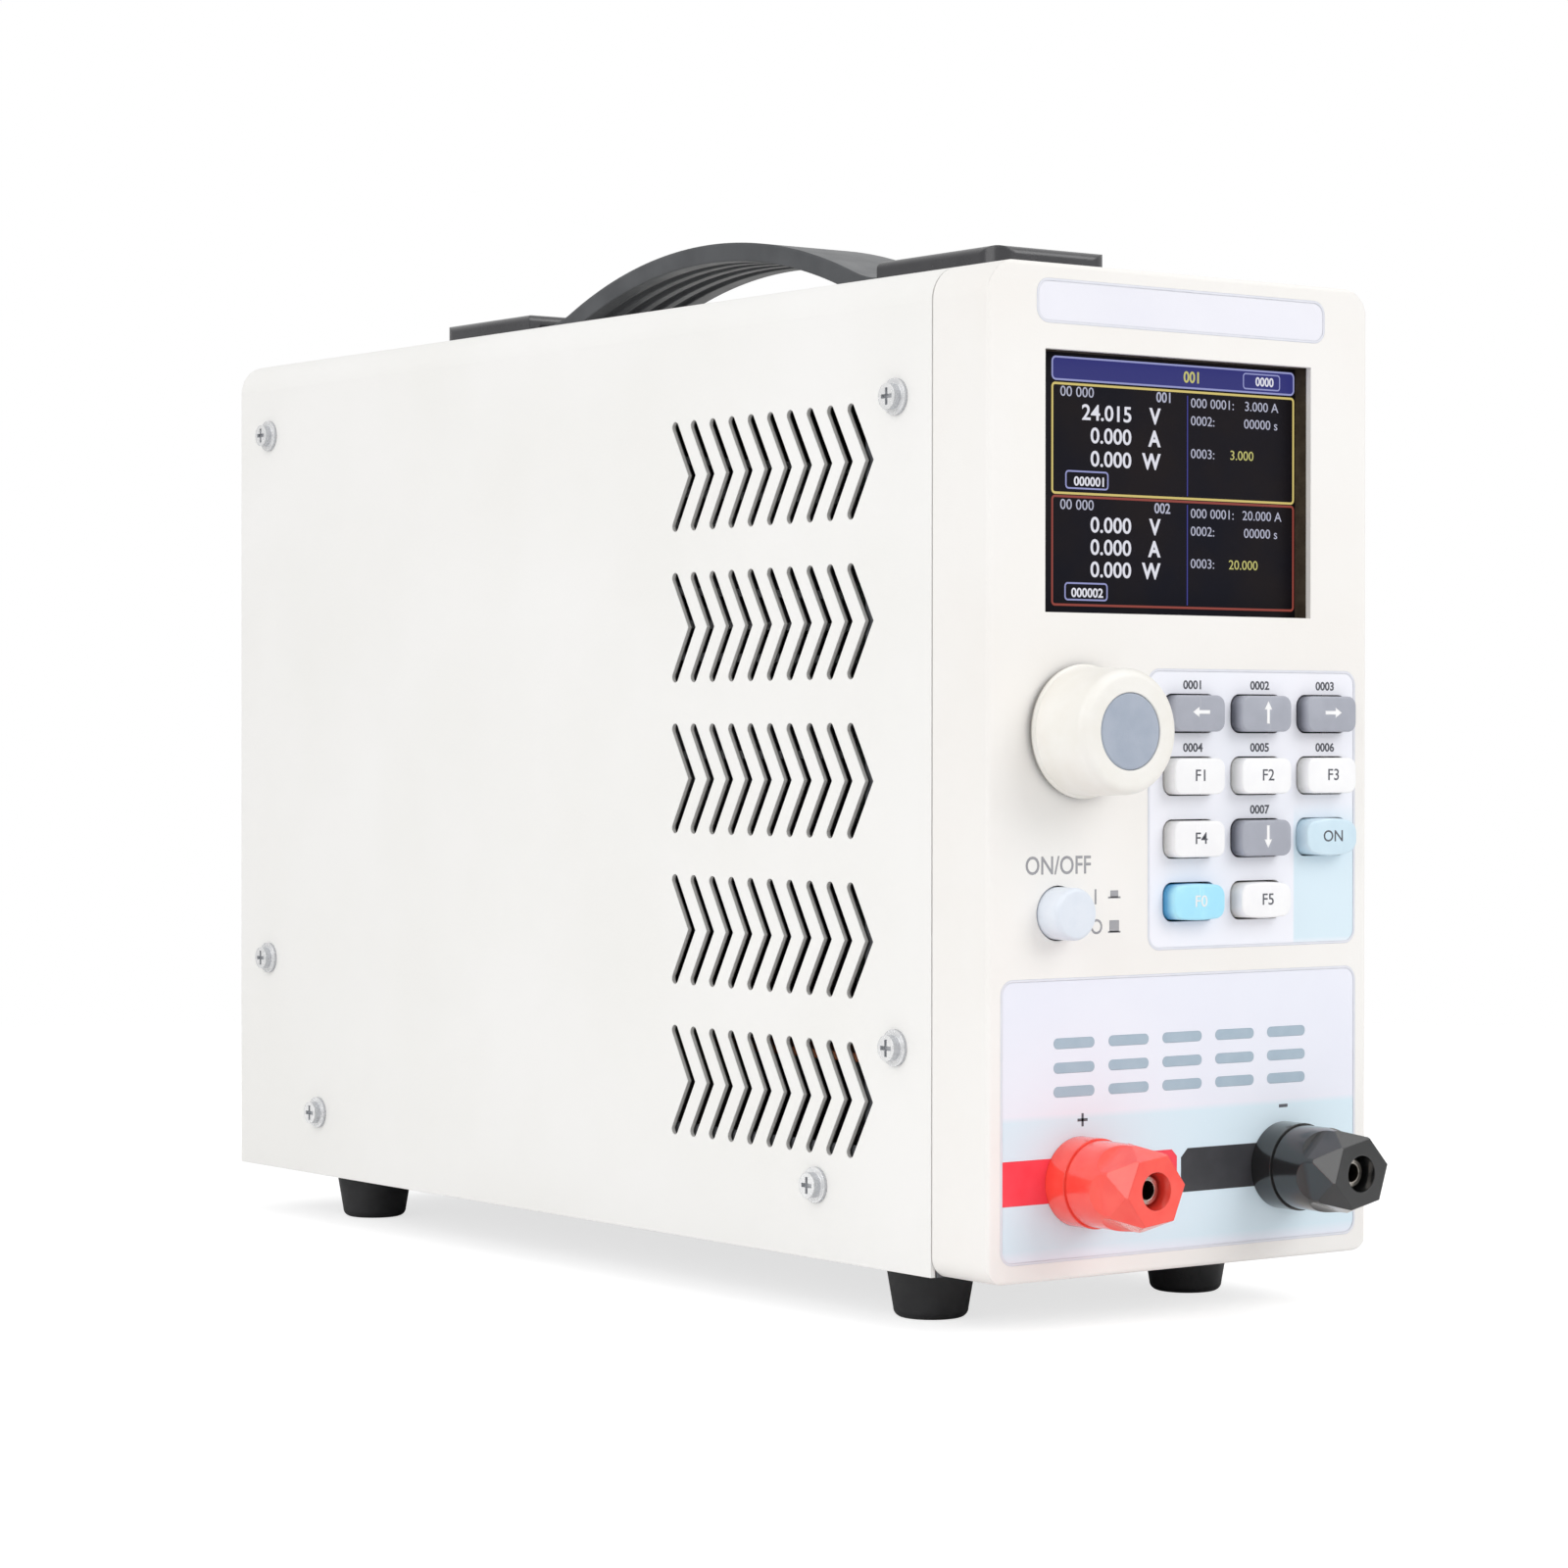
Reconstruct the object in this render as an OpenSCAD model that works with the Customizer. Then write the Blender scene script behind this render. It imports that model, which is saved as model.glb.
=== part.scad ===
// Bench dc electronic load: a tall sheet-steel case with a moulded front bezel, colour display,
// keypad, rotary knob, latching power button, two screw-down binding posts and a strap handle.
// Working frame of the modules: x across, y back from the front face, z up from the case floor.

/* [Case] */
// Width of the case
case_w = 110; // [108:1:130]
// Height of the case without its feet
case_h = 216; // [210:1:240]
// Depth from the front face to the rear edge of the cover
case_d = 320; // [310:1:360]
// Thickness of the sheet steel
sheet_t = 1.2; // [1:0.1:1.5]
// Outer radius of the long top edges
top_r = 7.5; // [6:0.5:9]
// Gap between sheets that lie inside one another
fold_gap = 0.15; // [0.1:0.05:0.3]
// Gap of the seam between the bezel and the cover
seam_gap = 0.4; // [0.2:0.1:0.8]
// Height of the tray's side flanges
flange_h = 26; // [22:1:32]
// Depth of the side flanges of the front frame and the rear panel
flange_d = 24; // [20:1:30]
// Setback of the rear panel from the cover's rear edge
panel_setback = 2; // [1:0.5:4]
// Width of the opening in the front frame
frame_open_w = 87; // [80:1:92]
// Rim of the front frame below and above its opening
frame_rim = 15; // [12:1:20]

/* [Side vents] */
// Chevron slots in one row
vent_cols = 10; // [6:1:12]
// Rows of chevron slots
vent_rows = 5; // [3:1:5]
// Spacing of the slots along the depth
vent_pitch_y = 7.44; // [6.5:0.1:9]
// Spacing of the rows
vent_pitch_z = 34.9; // [30:0.1:36]
// Height of one chevron
vent_h = 25.4; // [20:0.2:28]
// Width of a slot
vent_slot_w = 2.5; // [1.5:0.1:3]
// How far the point of a chevron leads its ends
vent_point = 6.7; // [4:0.1:9]
// Depth of the first slot's ends behind the front face
vent_front_y = 47.4; // [42:0.2:60]
// Height of the lowest slots' lower ends
vent_low_z = 23.3; // [20:0.1:30]

/* [Bezel] */
// Depth of the bezel
bezel_d = 18.6; // [17:0.2:24]
// Thickness of the bezel's front wall
bezel_face_t = 3; // [2.5:0.1:3.4]
// Thickness of the bezel's side walls
bezel_wall = 2.5; // [2:0.1:3]
// Radius of the bezel's long lower edges
bezel_low_r = 4.5; // [3.5:0.5:7]
// Rounding of the bezel's front edges
bezel_edge_r = 1; // [0.75:0.25:3]
// Diameter of the screw bosses inside the bezel
boss_d = 6.6; // [6:0.2:7]
// Distance of the upper bosses from the middle of the bezel
boss_top_x = 30; // [20:1:40]

/* [Overlays] */
// Thickness of the printed films
film_t = 0.25; // [0.15:0.05:0.4]
// Corner radius of the films
film_r = 3; // [1:0.5:4]
// Width of the title film
title_w = 83.2; // [60:0.2:90]
// Height of the title film
title_h = 9; // [7:0.5:11]
// Distance of the title film from the top of the case
title_drop = 3.6; // [3:0.2:5]
// Width of the keypad film
keypad_w = 61.4; // [60:0.1:62]
// Height of the keypad film
keypad_h = 60.5; // [58:0.5:64]
// Distance of the keypad film from the right side of the case
keypad_margin = 3.85; // [3:0.05:4.2]
// Distance of the keypad film from the display window
keypad_gap = 11.85; // [10:0.05:13]
// Distance of the input film from the sides of the case
input_margin = 3.7; // [3:0.1:8]
// Distance of the input film from the case floor
input_low_z = 4.2; // [3:0.1:6]
// Distance of the input film from the keypad film
input_gap = 5.55; // [4:0.05:10]

/* [Display] */
// Offset of the display window from the middle of the front
window_x = -0.9; // [-1.5:0.1:1.5]
// Width of the display window
window_w = 77; // [72:0.5:80]
// Height of the display window
window_h = 55.8; // [52:0.2:58]
// Distance of the window from the top of the case
window_drop = 18.3; // [17:0.1:20]
// Depth of the bezel's lip around the window
window_lip = 1.5; // [1:0.1:2]
// Wall of the black gasket that lines the window
gasket_t = 1.6; // [1:0.1:2]
// Depth of the display's face behind the front face
lcd_depth = 5.1; // [4.5:0.1:6.5]
// How far the display module reaches past the window on each side
lcd_margin = 3; // [2.5:0.1:4]

/* [Front board] */
// Depth of the board's front face behind the front face
board_y = 9.5; // [9:0.1:11]
// Thickness of the circuit boards
board_t = 1.6; // [1.2:0.1:2]
// Gap between the front board and the bezel's side walls
board_side_gap = 2.5; // [1.5:0.1:3.5]
// Reach of the front board below the keypad film
board_drop = 4.05; // [3.5:0.05:4.5]
// Gap between the front board and the upper bosses
board_room = 1; // [0.5:0.1:2]

/* [Keypad] */
// Width of a key
key_w = 14.8; // [12:0.2:15.4]
// Height of a key
key_h = 7.9; // [7:0.1:9]
// Corner radius of a key
key_r = 2.2; // [1:0.1:3]
// Rounding of a key's front edges
key_edge_r = 1.1; // [0.6:0.1:1.6]
// How far a key stands out of the front face
key_rise = 3.5; // [2:0.1:5]
// Travel of a key
key_travel = 1; // [0.6:0.1:1.2]
// Spacing of the key columns
key_pitch_x = 19.75; // [19:0.05:20]
// Spacing of the key rows
key_pitch_z = 13.65; // [13:0.05:14.2]
// Offset of the middle key column from the middle of the keypad film
keys_shift = 0.9; // [0.7:0.1:1.5]
// Distance of the top key row's centre from the keypad film's upper edge
key_drop = 9.45; // [9:0.05:10.5]
// Width of the lip that holds a key behind the bezel
key_lip = 0.8; // [0.5:0.1:1]
// Thickness of that lip
key_lip_t = 1; // [0.8:0.1:1.2]
// Diameter of a key's stem
key_stem_d = 3; // [2.5:0.1:3.5]
// Width of a key switch
switch_w = 6; // [5:0.5:7]

/* [Knob] */
// Centre of the knob across the front
knob_x = -29.9; // [-31:0.1:-28]
// Height of the knob's centre above the keypad film's centre
knob_rise = 16.8; // [14:0.2:18]
// Diameter of the knob's rear rim
knob_base_d = 28.7; // [27:0.1:30]
// Diameter of the knob before its front rounding
knob_front_d = 26.8; // [25:0.1:28]
// Length of the knob
knob_len = 15.9; // [14:0.1:20]
// Front rounding of the knob
knob_round = 2.2; // [1.5:0.1:3.5]
// Thickness of the knob's rear rim
knob_rim_t = 1.2; // [0.8:0.1:2]
// Wall of the knob's skirt
knob_wall = 2; // [1.6:0.1:3]
// Gap between the knob and the bezel
knob_gap = 0.8; // [0.5:0.1:1.5]
// Diameter of the disc let into the knob
knob_insert_d = 16.2; // [12:0.2:16.2]
// Thickness of that disc
knob_insert_t = 1; // [0.6:0.1:1.5]
// Diameter of the knob's hub
knob_hub_d = 11; // [10:0.2:12]
// Diameter of the encoder shaft
shaft_d = 6; // [5:0.5:6]
// Length of the shaft inside the knob
shaft_grip = 11; // [9:0.5:12]
// Width of the encoder's housing
encoder_w = 12; // [11:0.5:14]
// Diameter of the encoder's bushing
bushing_d = 8; // [7.6:0.1:9]

/* [Power button] */
// Centre of the power button across the front
button_x = -35.8; // [-37:0.2:-34]
// Distance of the power button's centre below the keypad film's centre
button_drop = 21.8; // [21:0.2:23]
// Diameter of the power button
button_d = 11.2; // [10:0.1:13]
// How far the button stands out when released
button_rise = 6.4; // [5:0.1:8]
// Travel of the power button
button_travel = 3; // [2:0.1:3.2]
// Rounding of the button's front edge
button_round = 1; // [0.6:0.1:3]
// Depth of the button's body behind the front face
button_tail = 5.5; // [4.5:0.1:5.7]
// Diameter of the power switch's plunger
plunger_d = 4; // [3:0.2:5]
// Width of the power switch
power_switch_w = 14; // [12:0.5:15]
// Length of the power switch
power_switch_len = 17; // [15:0.5:22]

/* [Binding posts] */
// Distance of each post from the middle of the front
post_x = 29.6; // [27:0.2:32]
// Height of the posts
post_z = 20.7; // [19:0.1:23]
// Diameter of a post's base
post_base_d = 19.3; // [17:0.1:21]
// Length of a post's base
post_base_len = 6; // [5:0.1:8]
// Diameter of the base's spigot through the bezel
spigot_d = 11; // [10:0.2:13]
// Diameter of a cap's round part
cap_d = 18.5; // [17:0.1:20]
// Length of a cap
cap_len = 18.3; // [17:0.1:22]
// Length of a cap's round part before the hexagon
cap_barrel_len = 5.6; // [5:0.1:6.5]
// Width of a cap's hexagon across its flats
cap_hex_w = 16.4; // [16:0.1:16.8]
// Radius of the scallop that ends each flat
cap_scallop_r = 5; // [3:0.5:6]
// Width of a cap's front face across the facets that cut its corners
cap_front_w = 13.8; // [13:0.1:13.8]
// Length of those facets
cap_facet_len = 6; // [4:0.1:6.5]
// Diameter of the hole in a cap's front
mouth_d = 8; // [7:0.1:9]
// Depth of that hole
mouth_len = 7.5; // [5:0.1:9]
// Turn of the red cap's hexagon at rest
red_turn = 23; // [-30:1:30]
// Turn of the black cap's hexagon at rest
black_turn = 18; // [-30:1:30]
// Diameter of the threaded stud
stud_d = 6; // [5.6:0.1:6.4]
// Setback of the stud's end from the cap's front
stud_setback = 3; // [2:0.1:5]
// Reach of the stud behind the front face
stud_tail = 16; // [14:0.5:18]
// Diameter of the stud's shoulder
shoulder_d = 9; // [8:0.1:10]
// Thickness of the stud's shoulder
shoulder_t = 1.2; // [1:0.1:1.6]
// Diameter of the plug bore in the stud
plug_d = 4; // [3.8:0.05:4.2]
// Depth of the plug bore
plug_len = 19.5; // [18:0.5:20]
// Diameter of the wire hole across the stud
wire_d = 2; // [1.5:0.1:2.4]
// Travel of a cap between clamped and open
cap_travel = 5; // [3:0.5:6]
// Diameter of the captive pressure washer
washer_d = 12; // [11:0.2:13]
// Thickness of the captive pressure washer
washer_t = 1.2; // [0.8:0.1:1.6]
// Width of the nuts on the studs across their flats
nut_w = 10; // [9:0.5:11]
// Thickness of those nuts
nut_t = 5; // [4:0.5:6]
// Diameter of the plain washers behind the bezel
plain_d = 14; // [12:0.5:16]
// Thickness of the plain washers behind the bezel
plain_t = 1.2; // [0.8:0.1:1.6]
// Thickness of the copper bars
bar_t = 2; // [1.5:0.1:2.4]
// Width of the copper bars
bar_w = 14; // [11:0.5:16]
// Depth of the copper bars' rear ends behind the front face
bar_end_y = 125; // [100:1:140]

/* [Handle] */
// Middle of the handle behind the front face
handle_y = 161; // [155:1:165]
// Width of the strap
strap_w = 27; // [24:0.5:28]
// Thickness of the strap
strap_t = 4.5; // [3.5:0.1:5]
// Height of the strap's crown above the case
strap_rise = 20.6; // [18:0.2:26]
// Radius of the strap's crown
strap_r = 158; // [150:1:170]
// Radius of the bends beside the caps
strap_bend_r = 30; // [24:1:36]
// Height of the strap's ends above the case, at their top
strap_low = 6.4; // [6:0.1:6.6]
// Grooves along the strap's underside
strap_grooves = 4; // [2:1:4]
// Width of a groove
groove_w = 3; // [2:0.1:3.4]
// Depth of a groove
groove_t = 1; // [0.5:0.1:1.2]
// Distance of each cap's mouth from the middle of the handle
grip_half = 74; // [74:1:80]
// Length of an end cap
end_cap_len = 43.5; // [38:0.5:46]
// Width of an end cap
end_cap_w = 34.5; // [31:0.5:36]
// Height of an end cap
end_cap_h = 9.5; // [9:0.1:11]
// Corner radius of an end cap's outer end
end_cap_r = 6; // [3:0.5:8]
// Rounding of an end cap's top edges
end_cap_edge_r = 1.6; // [1:0.1:2]
// Depth of the pocket in an end cap
pocket_len = 36; // [32:1:37]
// Length of the strap's end inside its cap
tail_len = 30; // [27:1:31]
// Length of the slot in the strap's end
slot_len = 16; // [12:1:18]
// Diameter of the boss in an end cap
end_boss_d = 8; // [7:0.2:9]
// Distance of that boss from the cap's mouth
end_boss_y = 20; // [18:0.5:21]

/* [Feet] */
// Diameter of a foot at the case
foot_d = 20; // [16:0.5:24]
// Diameter of a foot at the bench
foot_low_d = 16.6; // [14:0.2:20]
// Height of a foot
foot_h = 12; // [10:0.5:16]
// Rounding of a foot's lower edge
foot_round = 2; // [1:0.1:2.4]
// Distance of the feet from the sides of the case
foot_inset_x = 17.5; // [14:0.5:22]
// Distance of the feet from the front face and the rear edge
foot_inset_y = 41; // [34:1:50]
// Depth of the screw recess in a foot
foot_recess = 6; // [4:0.5:7]

/* [Fasteners] */
// Thread diameter of the small screws
m3_d = 3; // [2.5:0.1:3.2]
// Head diameter of the small screws
m3_head_d = 5.6; // [5:0.1:6]
// Head height of the small screws
m3_head_h = 2; // [1.6:0.1:2.4]
// Length of the small screws
m3_len = 6; // [5:0.5:6]
// Flange diameter of the cover screws
flange_screw_d = 8; // [7:0.1:9]
// Flange thickness of the cover screws
flange_screw_t = 0.8; // [0.5:0.1:1]
// Thread diameter of the large screws
m4_d = 4; // [3.5:0.1:4.2]
// Head diameter of the large screws
m4_head_d = 7.4; // [7:0.1:8]
// Head height of the large screws
m4_head_h = 2.6; // [2:0.1:3]
// Length of the large screws
m4_len = 8; // [7:0.5:9]
// Width of the cross recess in a screw head
cross_w = 0.9; // [0.6:0.1:1.2]
// Depth of the cross recess
cross_t = 1; // [0.6:0.1:1.4]
// Setback of the front cover screws from the bezel
front_screw_y = 12.7; // [10:0.1:16]
// Height of the lower front cover screws
front_screw_z = 48.4; // [44:0.2:56]
// Distance of the upper front cover screws from the top
front_screw_drop = 27.3; // [24:0.1:34]
// Distance of the rear cover screws from the rear edge
rear_screw_y = 15.3; // [12:0.1:18]
// Height of the lower rear cover screws
rear_screw_z = 56.1; // [50:0.1:64]
// Distance of the upper rear cover screws from the top
rear_screw_drop = 19.8; // [19:0.1:30]
// Depth of the front tray screws behind the front face
tray_screw_y = 59.7; // [54:0.1:70]
// Distance of the rear tray screws from the rear edge
tray_screw_inset = 41.5; // [36:0.1:60]
// Height of the tray screws
tray_screw_z = 16.4; // [14:0.1:18]

/* [Fan] */
// Width of the fan
fan_w = 92; // [80:1:92]
// Depth of the fan
fan_t = 25; // [22:0.5:28]
// Wall of the fan's duct at its thinnest
fan_wall = 2; // [1.5:0.1:2.5]
// Spacing of the fan's screws
fan_pitch = 82.5; // [71.5:0.5:83]
// Distance of the fan's centre from the top of the case
fan_drop = 69; // [62:1:74]
// Diameter of the fan's hub
hub_d = 38; // [32:1:42]
// Wall of the fan's hub
hub_wall = 1.6; // [1.2:0.1:2]
// Blades of the fan
blades = 7; // [5:1:9]
// Pitch angle of the blades
blade_pitch = 38; // [25:1:45]
// Width of a blade
blade_w = 17; // [12:0.5:18]
// Thickness of a blade
blade_t = 1.6; // [1.2:0.1:2]
// Gap between the blade tips and the duct
tip_gap = 1.2; // [0.8:0.1:2]
// Thickness of the fan's motor plate
motor_t = 4; // [3:0.5:5]
// Width of the struts that carry the motor plate
strut_w = 5; // [4:0.5:7]
// Diameter of the fan's shaft
axle_d = 3; // [2:0.5:4]
// Diameter of the fan's bearing sleeve
sleeve_d = 8; // [6:0.5:10]
// Rings of the fan guard
guard_rings = 4; // [3:1:5]
// Spacing of the guard's rings
guard_pitch = 10; // [8:0.5:10]
// Wire width of the guard
wire_w = 1.8; // [1.4:0.1:2.4]
// Diameter of the guard's screw eyes
eye_d = 9; // [8.6:0.1:10]

/* [Rear connectors] */
// Centre of the mains inlet across the rear
inlet_x = -24; // [-26:0.5:-20]
// Distance of the mains socket's centre below the fan's centre
inlet_drop = 87; // [83:0.5:92]
// Width of the inlet's flange
inlet_flange_w = 50; // [48:0.5:52]
// Height of the inlet's flange
inlet_flange_h = 46; // [44:0.5:50]
// Thickness of the inlet's flange
inlet_flange_t = 3; // [2:0.1:4]
// Spacing of the inlet's screws
inlet_pitch = 40; // [38:0.5:41]
// Width of the socket
socket_w = 24; // [23:0.1:25]
// Height of the socket
socket_h = 16.4; // [16:0.1:17]
// Depth of the socket
socket_len = 17; // [16:0.2:18]
// Wall of the inlet's body
inlet_wall = 1.8; // [1.4:0.1:2.4]
// Spacing of the outer blades of the inlet
blade_gap = 14; // [13.6:0.1:14.4]
// Offset of the earth blade above the outer blades
earth_rise = 4; // [3:0.1:5]
// Width of a contact blade
contact_w = 4; // [3.5:0.1:4.5]
// Thickness of a contact blade
contact_t = 2; // [1.6:0.1:2.2]
// Setback of the contact blades from the flange's face
contact_setback = 3; // [2:0.1:4]
// Length of the contact blades behind the inlet's body
contact_tail = 7; // [5:0.5:9]
// Height of the fuse drawer
drawer_h = 10; // [8:0.2:11]
// Length of the fuse drawer inside the inlet
drawer_len = 19; // [16:0.5:20]
// Thickness of the drawer's front
drawer_front_t = 1.8; // [1.4:0.1:2.4]
// Travel of the fuse drawer
drawer_travel = 15; // [10:0.5:16]
// Centre of the serial port across the rear
port_x = 28; // [26:0.5:30]
// Distance of the serial port below the fan's centre
port_drop = 87; // [78:0.5:96]
// Width of the serial port's shell
port_w = 17; // [16:0.2:18]
// Height of the serial port's shell
port_h = 8.4; // [8:0.1:9]
// Reach of the shell behind the rear panel
port_reach = 5.5; // [5:0.1:7]
// Spacing of the port's jack screws
port_pitch = 25; // [24.5:0.1:25.5]
// Width of the jack screws across their flats
jack_w = 5; // [4.5:0.1:5.5]
// Length of the jack screws behind the panel
jack_len = 4.5; // [4:0.1:5]

/* [Power stage] */
// Thickness of the heat sink's base
sink_t = 8; // [6:0.5:9]
// Distance of the heat sink's base from the middle
sink_x = 30; // [28:0.5:31]
// Length of the heat sink
sink_len = 130; // [100:1:134]
// Gap between the heat sink and the fan
sink_gap = 6; // [4:0.5:10]
// Fins of the heat sink
fins = 10; // [6:1:12]
// Spacing of the fins
fin_pitch = 8; // [7:0.5:8]
// Thickness of a fin
fin_t = 2; // [1.5:0.1:2.5]
// Length of a fin
fin_len = 64; // [50:1:70]
// Width of a transistor
fet_w = 16; // [14:0.5:16]
// Height of a transistor
fet_h = 21; // [18:0.5:22]
// Thickness of a transistor
fet_t = 5; // [4.5:0.1:5.2]
// Transistors in a row
fets = 4; // [2:1:5]
// Spacing of the transistors
fet_pitch = 28; // [24:0.5:30]
// Width of the transformer
core_w = 54; // [44:1:56]
// Depth of the transformer
core_d = 44; // [36:1:50]
// Height of the transformer
core_h = 48; // [40:1:54]
// How far the winding stands out of the core
coil_out = 8; // [5:0.5:10]
// Distance of the transformer from the rear edge
core_inset = 110; // [90:1:120]

/* [Fits] */
// Radial running clearance of a shaft in its bore
run_gap = 0.05; // [0.02:0.01:0.08]
// Clearance around pieces that slide
slide_gap = 0.3; // [0.25:0.05:0.4]
// Clearance around pieces that are let in
seat_gap = 0.1; // [0.05:0.05:0.2]
// Radial clearance of a screw hole
screw_gap = 0.2; // [0.1:0.05:0.3]

/* [Hidden] */
$fn = 64;

// Spare length that lets a cut pass its wall
over = 1;

// Colours
paint_c = [0.96, 0.95, 0.93];
bezel_c = [0.97, 0.96, 0.93];
film_c = [0.93, 0.94, 0.98];
steel_c = [0.75, 0.76, 0.78];
dark_c = [0.18, 0.18, 0.19];
copper_c = [0.78, 0.45, 0.28];
board_c = [0.1, 0.38, 0.2];

// Faces of the sheet pieces
inner_half_w = case_w / 2 - sheet_t - fold_gap;
inner_h = case_h - sheet_t - fold_gap;
inner_r = top_r - sheet_t - fold_gap;
cover_y = bezel_d + seam_gap;
frame_y = bezel_d + sheet_t;
panel_out_y = case_d - panel_setback;
panel_in_y = panel_out_y - sheet_t;
flange_top_z = case_h - top_r - 4 * sheet_t;
flange_low_z = flange_h + 2 * sheet_t;
foot_flange = 12;

// Reach of the whole object along the depth, and the origin halfway between
cap_y = -post_base_len - slide_gap - cap_len;
drawer_out = inlet_flange_t + slide_gap + drawer_front_t;
rear_reach = panel_out_y + max(port_reach, drawer_out, wire_w + m4_head_h);
origin_y = (cap_y + rear_reach) / 2;

// Places on the front: each film hangs below the piece above it, and the input film takes the rest
window_z = case_h - window_drop - window_h / 2;
title_z = case_h - title_drop - title_h / 2;
keypad_x = case_w / 2 - keypad_margin - keypad_w / 2;
keypad_top_z = window_z - window_h / 2 - keypad_gap;
keypad_z = keypad_top_z - keypad_h / 2;
keypad_low_z = keypad_top_z - keypad_h;
input_w = case_w - 2 * input_margin;
input_h = keypad_low_z - input_gap - input_low_z;
input_z = input_low_z + input_h / 2;
keys_x = keypad_x + keys_shift;
key_top_z = keypad_top_z - key_drop;
knob_z = keypad_z + knob_rise;
button_z = keypad_z - button_drop;
board_half_w = case_w / 2 - bezel_wall - board_side_gap;
board_low_z = keypad_low_z - board_drop;
bar_z = (post_z + board_low_z + bar_t) / 2;
boss_top_z = case_h - bezel_wall - boss_d / 3;
board_top_z = boss_top_z - boss_d / 2 - board_room;
film_depth = film_t + seat_gap / 2;
lcd_w = window_w + 2 * lcd_margin;
lcd_h = window_h + 2 * lcd_margin;
fan_z = case_h - fan_drop;
inlet_z = fan_z - inlet_drop;
port_z = fan_z - port_drop;

// Column and row of each key, counted from the top left
KEY_LEFT = [0, 0];
KEY_UP = [1, 0];
KEY_RIGHT = [2, 0];
KEY_F1 = [0, 1];
KEY_F2 = [1, 1];
KEY_F3 = [2, 1];
KEY_F4 = [0, 2];
KEY_DOWN = [1, 2];
KEY_ON = [2, 2];
KEY_BLUE = [0, 3];
KEY_F5 = [1, 3];
KEYS = [
    KEY_LEFT, KEY_UP, KEY_RIGHT, KEY_F1, KEY_F2, KEY_F3, KEY_F4, KEY_DOWN, KEY_ON, KEY_BLUE, KEY_F5
];
function key_place(key) = [keys_x + (key[0] - 1) * key_pitch_x, 0, key_top_z - key[1] * key_pitch_z];

// Depths of the parts of a key behind the front face
lip_y = bezel_face_t + slide_gap;
switch_y = lip_y + key_lip_t + key_travel + slide_gap;
stem_end_y = switch_y + key_stem_d / 3;
stem_room = key_travel + slide_gap;

// Screw places on one side of the case, as depth and height
SIDE_SCREWS = [
    [bezel_d + front_screw_y, front_screw_z],
    [bezel_d + front_screw_y, case_h - front_screw_drop],
    [case_d - rear_screw_y, rear_screw_z],
    [case_d - rear_screw_y, case_h - rear_screw_drop],
    [tray_screw_y, tray_screw_z],
    [case_d - tray_screw_inset, tray_screw_z]
];

// Bosses behind the bezel's face, as across and height
boss_side_x = case_w / 2 - bezel_wall - boss_d / 2 - bezel_wall / 2;
boss_low_z = bezel_wall + boss_d;
BOARD_BOSSES = [for (s = [-1, 1], z = [board_low_z + boss_d / 2, board_top_z - boss_d / 2])
    [s * (board_half_w - boss_d / 2), z]];
FRAME_BOSSES = concat(
    [for (s = [-1, 1], z = [boss_low_z, board_low_z - boss_d]) [s * boss_side_x, z]],
    [for (s = [-1, 1]) [s * boss_top_x, boss_top_z]]
);

// Strap: the crown meets each bend where both circles touch
crown_z = strap_rise - strap_r;
bend_y = sqrt(pow(strap_r + strap_bend_r, 2) - pow(strap_low + strap_bend_r - crown_z, 2));
bend_a = asin(bend_y / (strap_r + strap_bend_r));
crown_steps = 24;
bend_steps = 10;

// Heat sink
sink_y = panel_in_y - fan_t - sink_gap - sink_len;
sink_leg_len = case_d - foot_inset_y - foot_d - sink_y;
fet_x = sink_x + sink_t;
power_board_x = fet_x + fet_t;
fins_h = (fins - 1) * fin_pitch + fin_t;
sink_top_z = fan_z + fins_h / 2 + fin_t;
power_board_low_z = flange_low_z + fet_h;

// Mains inlet
inlet_h = socket_h + drawer_h + 3 * inlet_wall;
inlet_body_w = socket_w + 2 * inlet_wall;
inlet_low_z = inlet_z - socket_h / 2 - drawer_h - 2 * inlet_wall;
inlet_face_y = panel_out_y + inlet_flange_t;
inlet_back_y = inlet_face_y - max(socket_len, drawer_len) - inlet_wall - slide_gap;
drawer_z = inlet_z - socket_h / 2 - inlet_wall - drawer_h / 2;
CONTACTS = [[-blade_gap / 2, -earth_rise / 2], [0, earth_rise / 2], [blade_gap / 2, -earth_rise / 2]];

// Moves a piece from the working frame to the part's own frame: middle of the depth, bench level
module placed() {
    translate([0, -origin_y, foot_h]) children();
}

// Extrudes an outline in x and z backwards from y
module along_y(y, length) {
    translate([0, y + length, 0]) rotate([90, 0, 0]) linear_extrude(length) children();
}

// Extrudes an outline in y and z to the right from x
module along_x(x, length) {
    translate([x, 0, 0]) rotate([90, 0, 90]) linear_extrude(length) children();
}

// A bar, pin or ring turned about the depth axis, from y backwards
module rod(d, y, length) {
    translate([0, y + length, 0]) rotate([90, 0, 0]) cylinder(d = d, h = length);
}

// A block given by its ranges
module block(x, y, z) {
    translate([x[0], y[0], z[0]]) cube([x[1] - x[0], y[1] - y[0], z[1] - z[0]]);
}

// A rectangle with round corners about its middle
module round_rect(w, h, r) {
    square([w - 2 * r, h], center = true);
    square([w, h - 2 * r], center = true);
    for (sx = [-1, 1], sy = [-1, 1])
        translate([sx * (w / 2 - r), sy * (h / 2 - r)]) circle(r);
}

// A standing outline with round upper corners and square lower ones
module arch(w, h, r) {
    translate([-w / 2, 0]) square([w, h - r]);
    translate([-w / 2 + r, h - 2 * r]) square([w - 2 * r, 2 * r]);
    for (s = [-1, 1])
        translate([s * (w / 2 - r), h - r]) circle(r);
}

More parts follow.
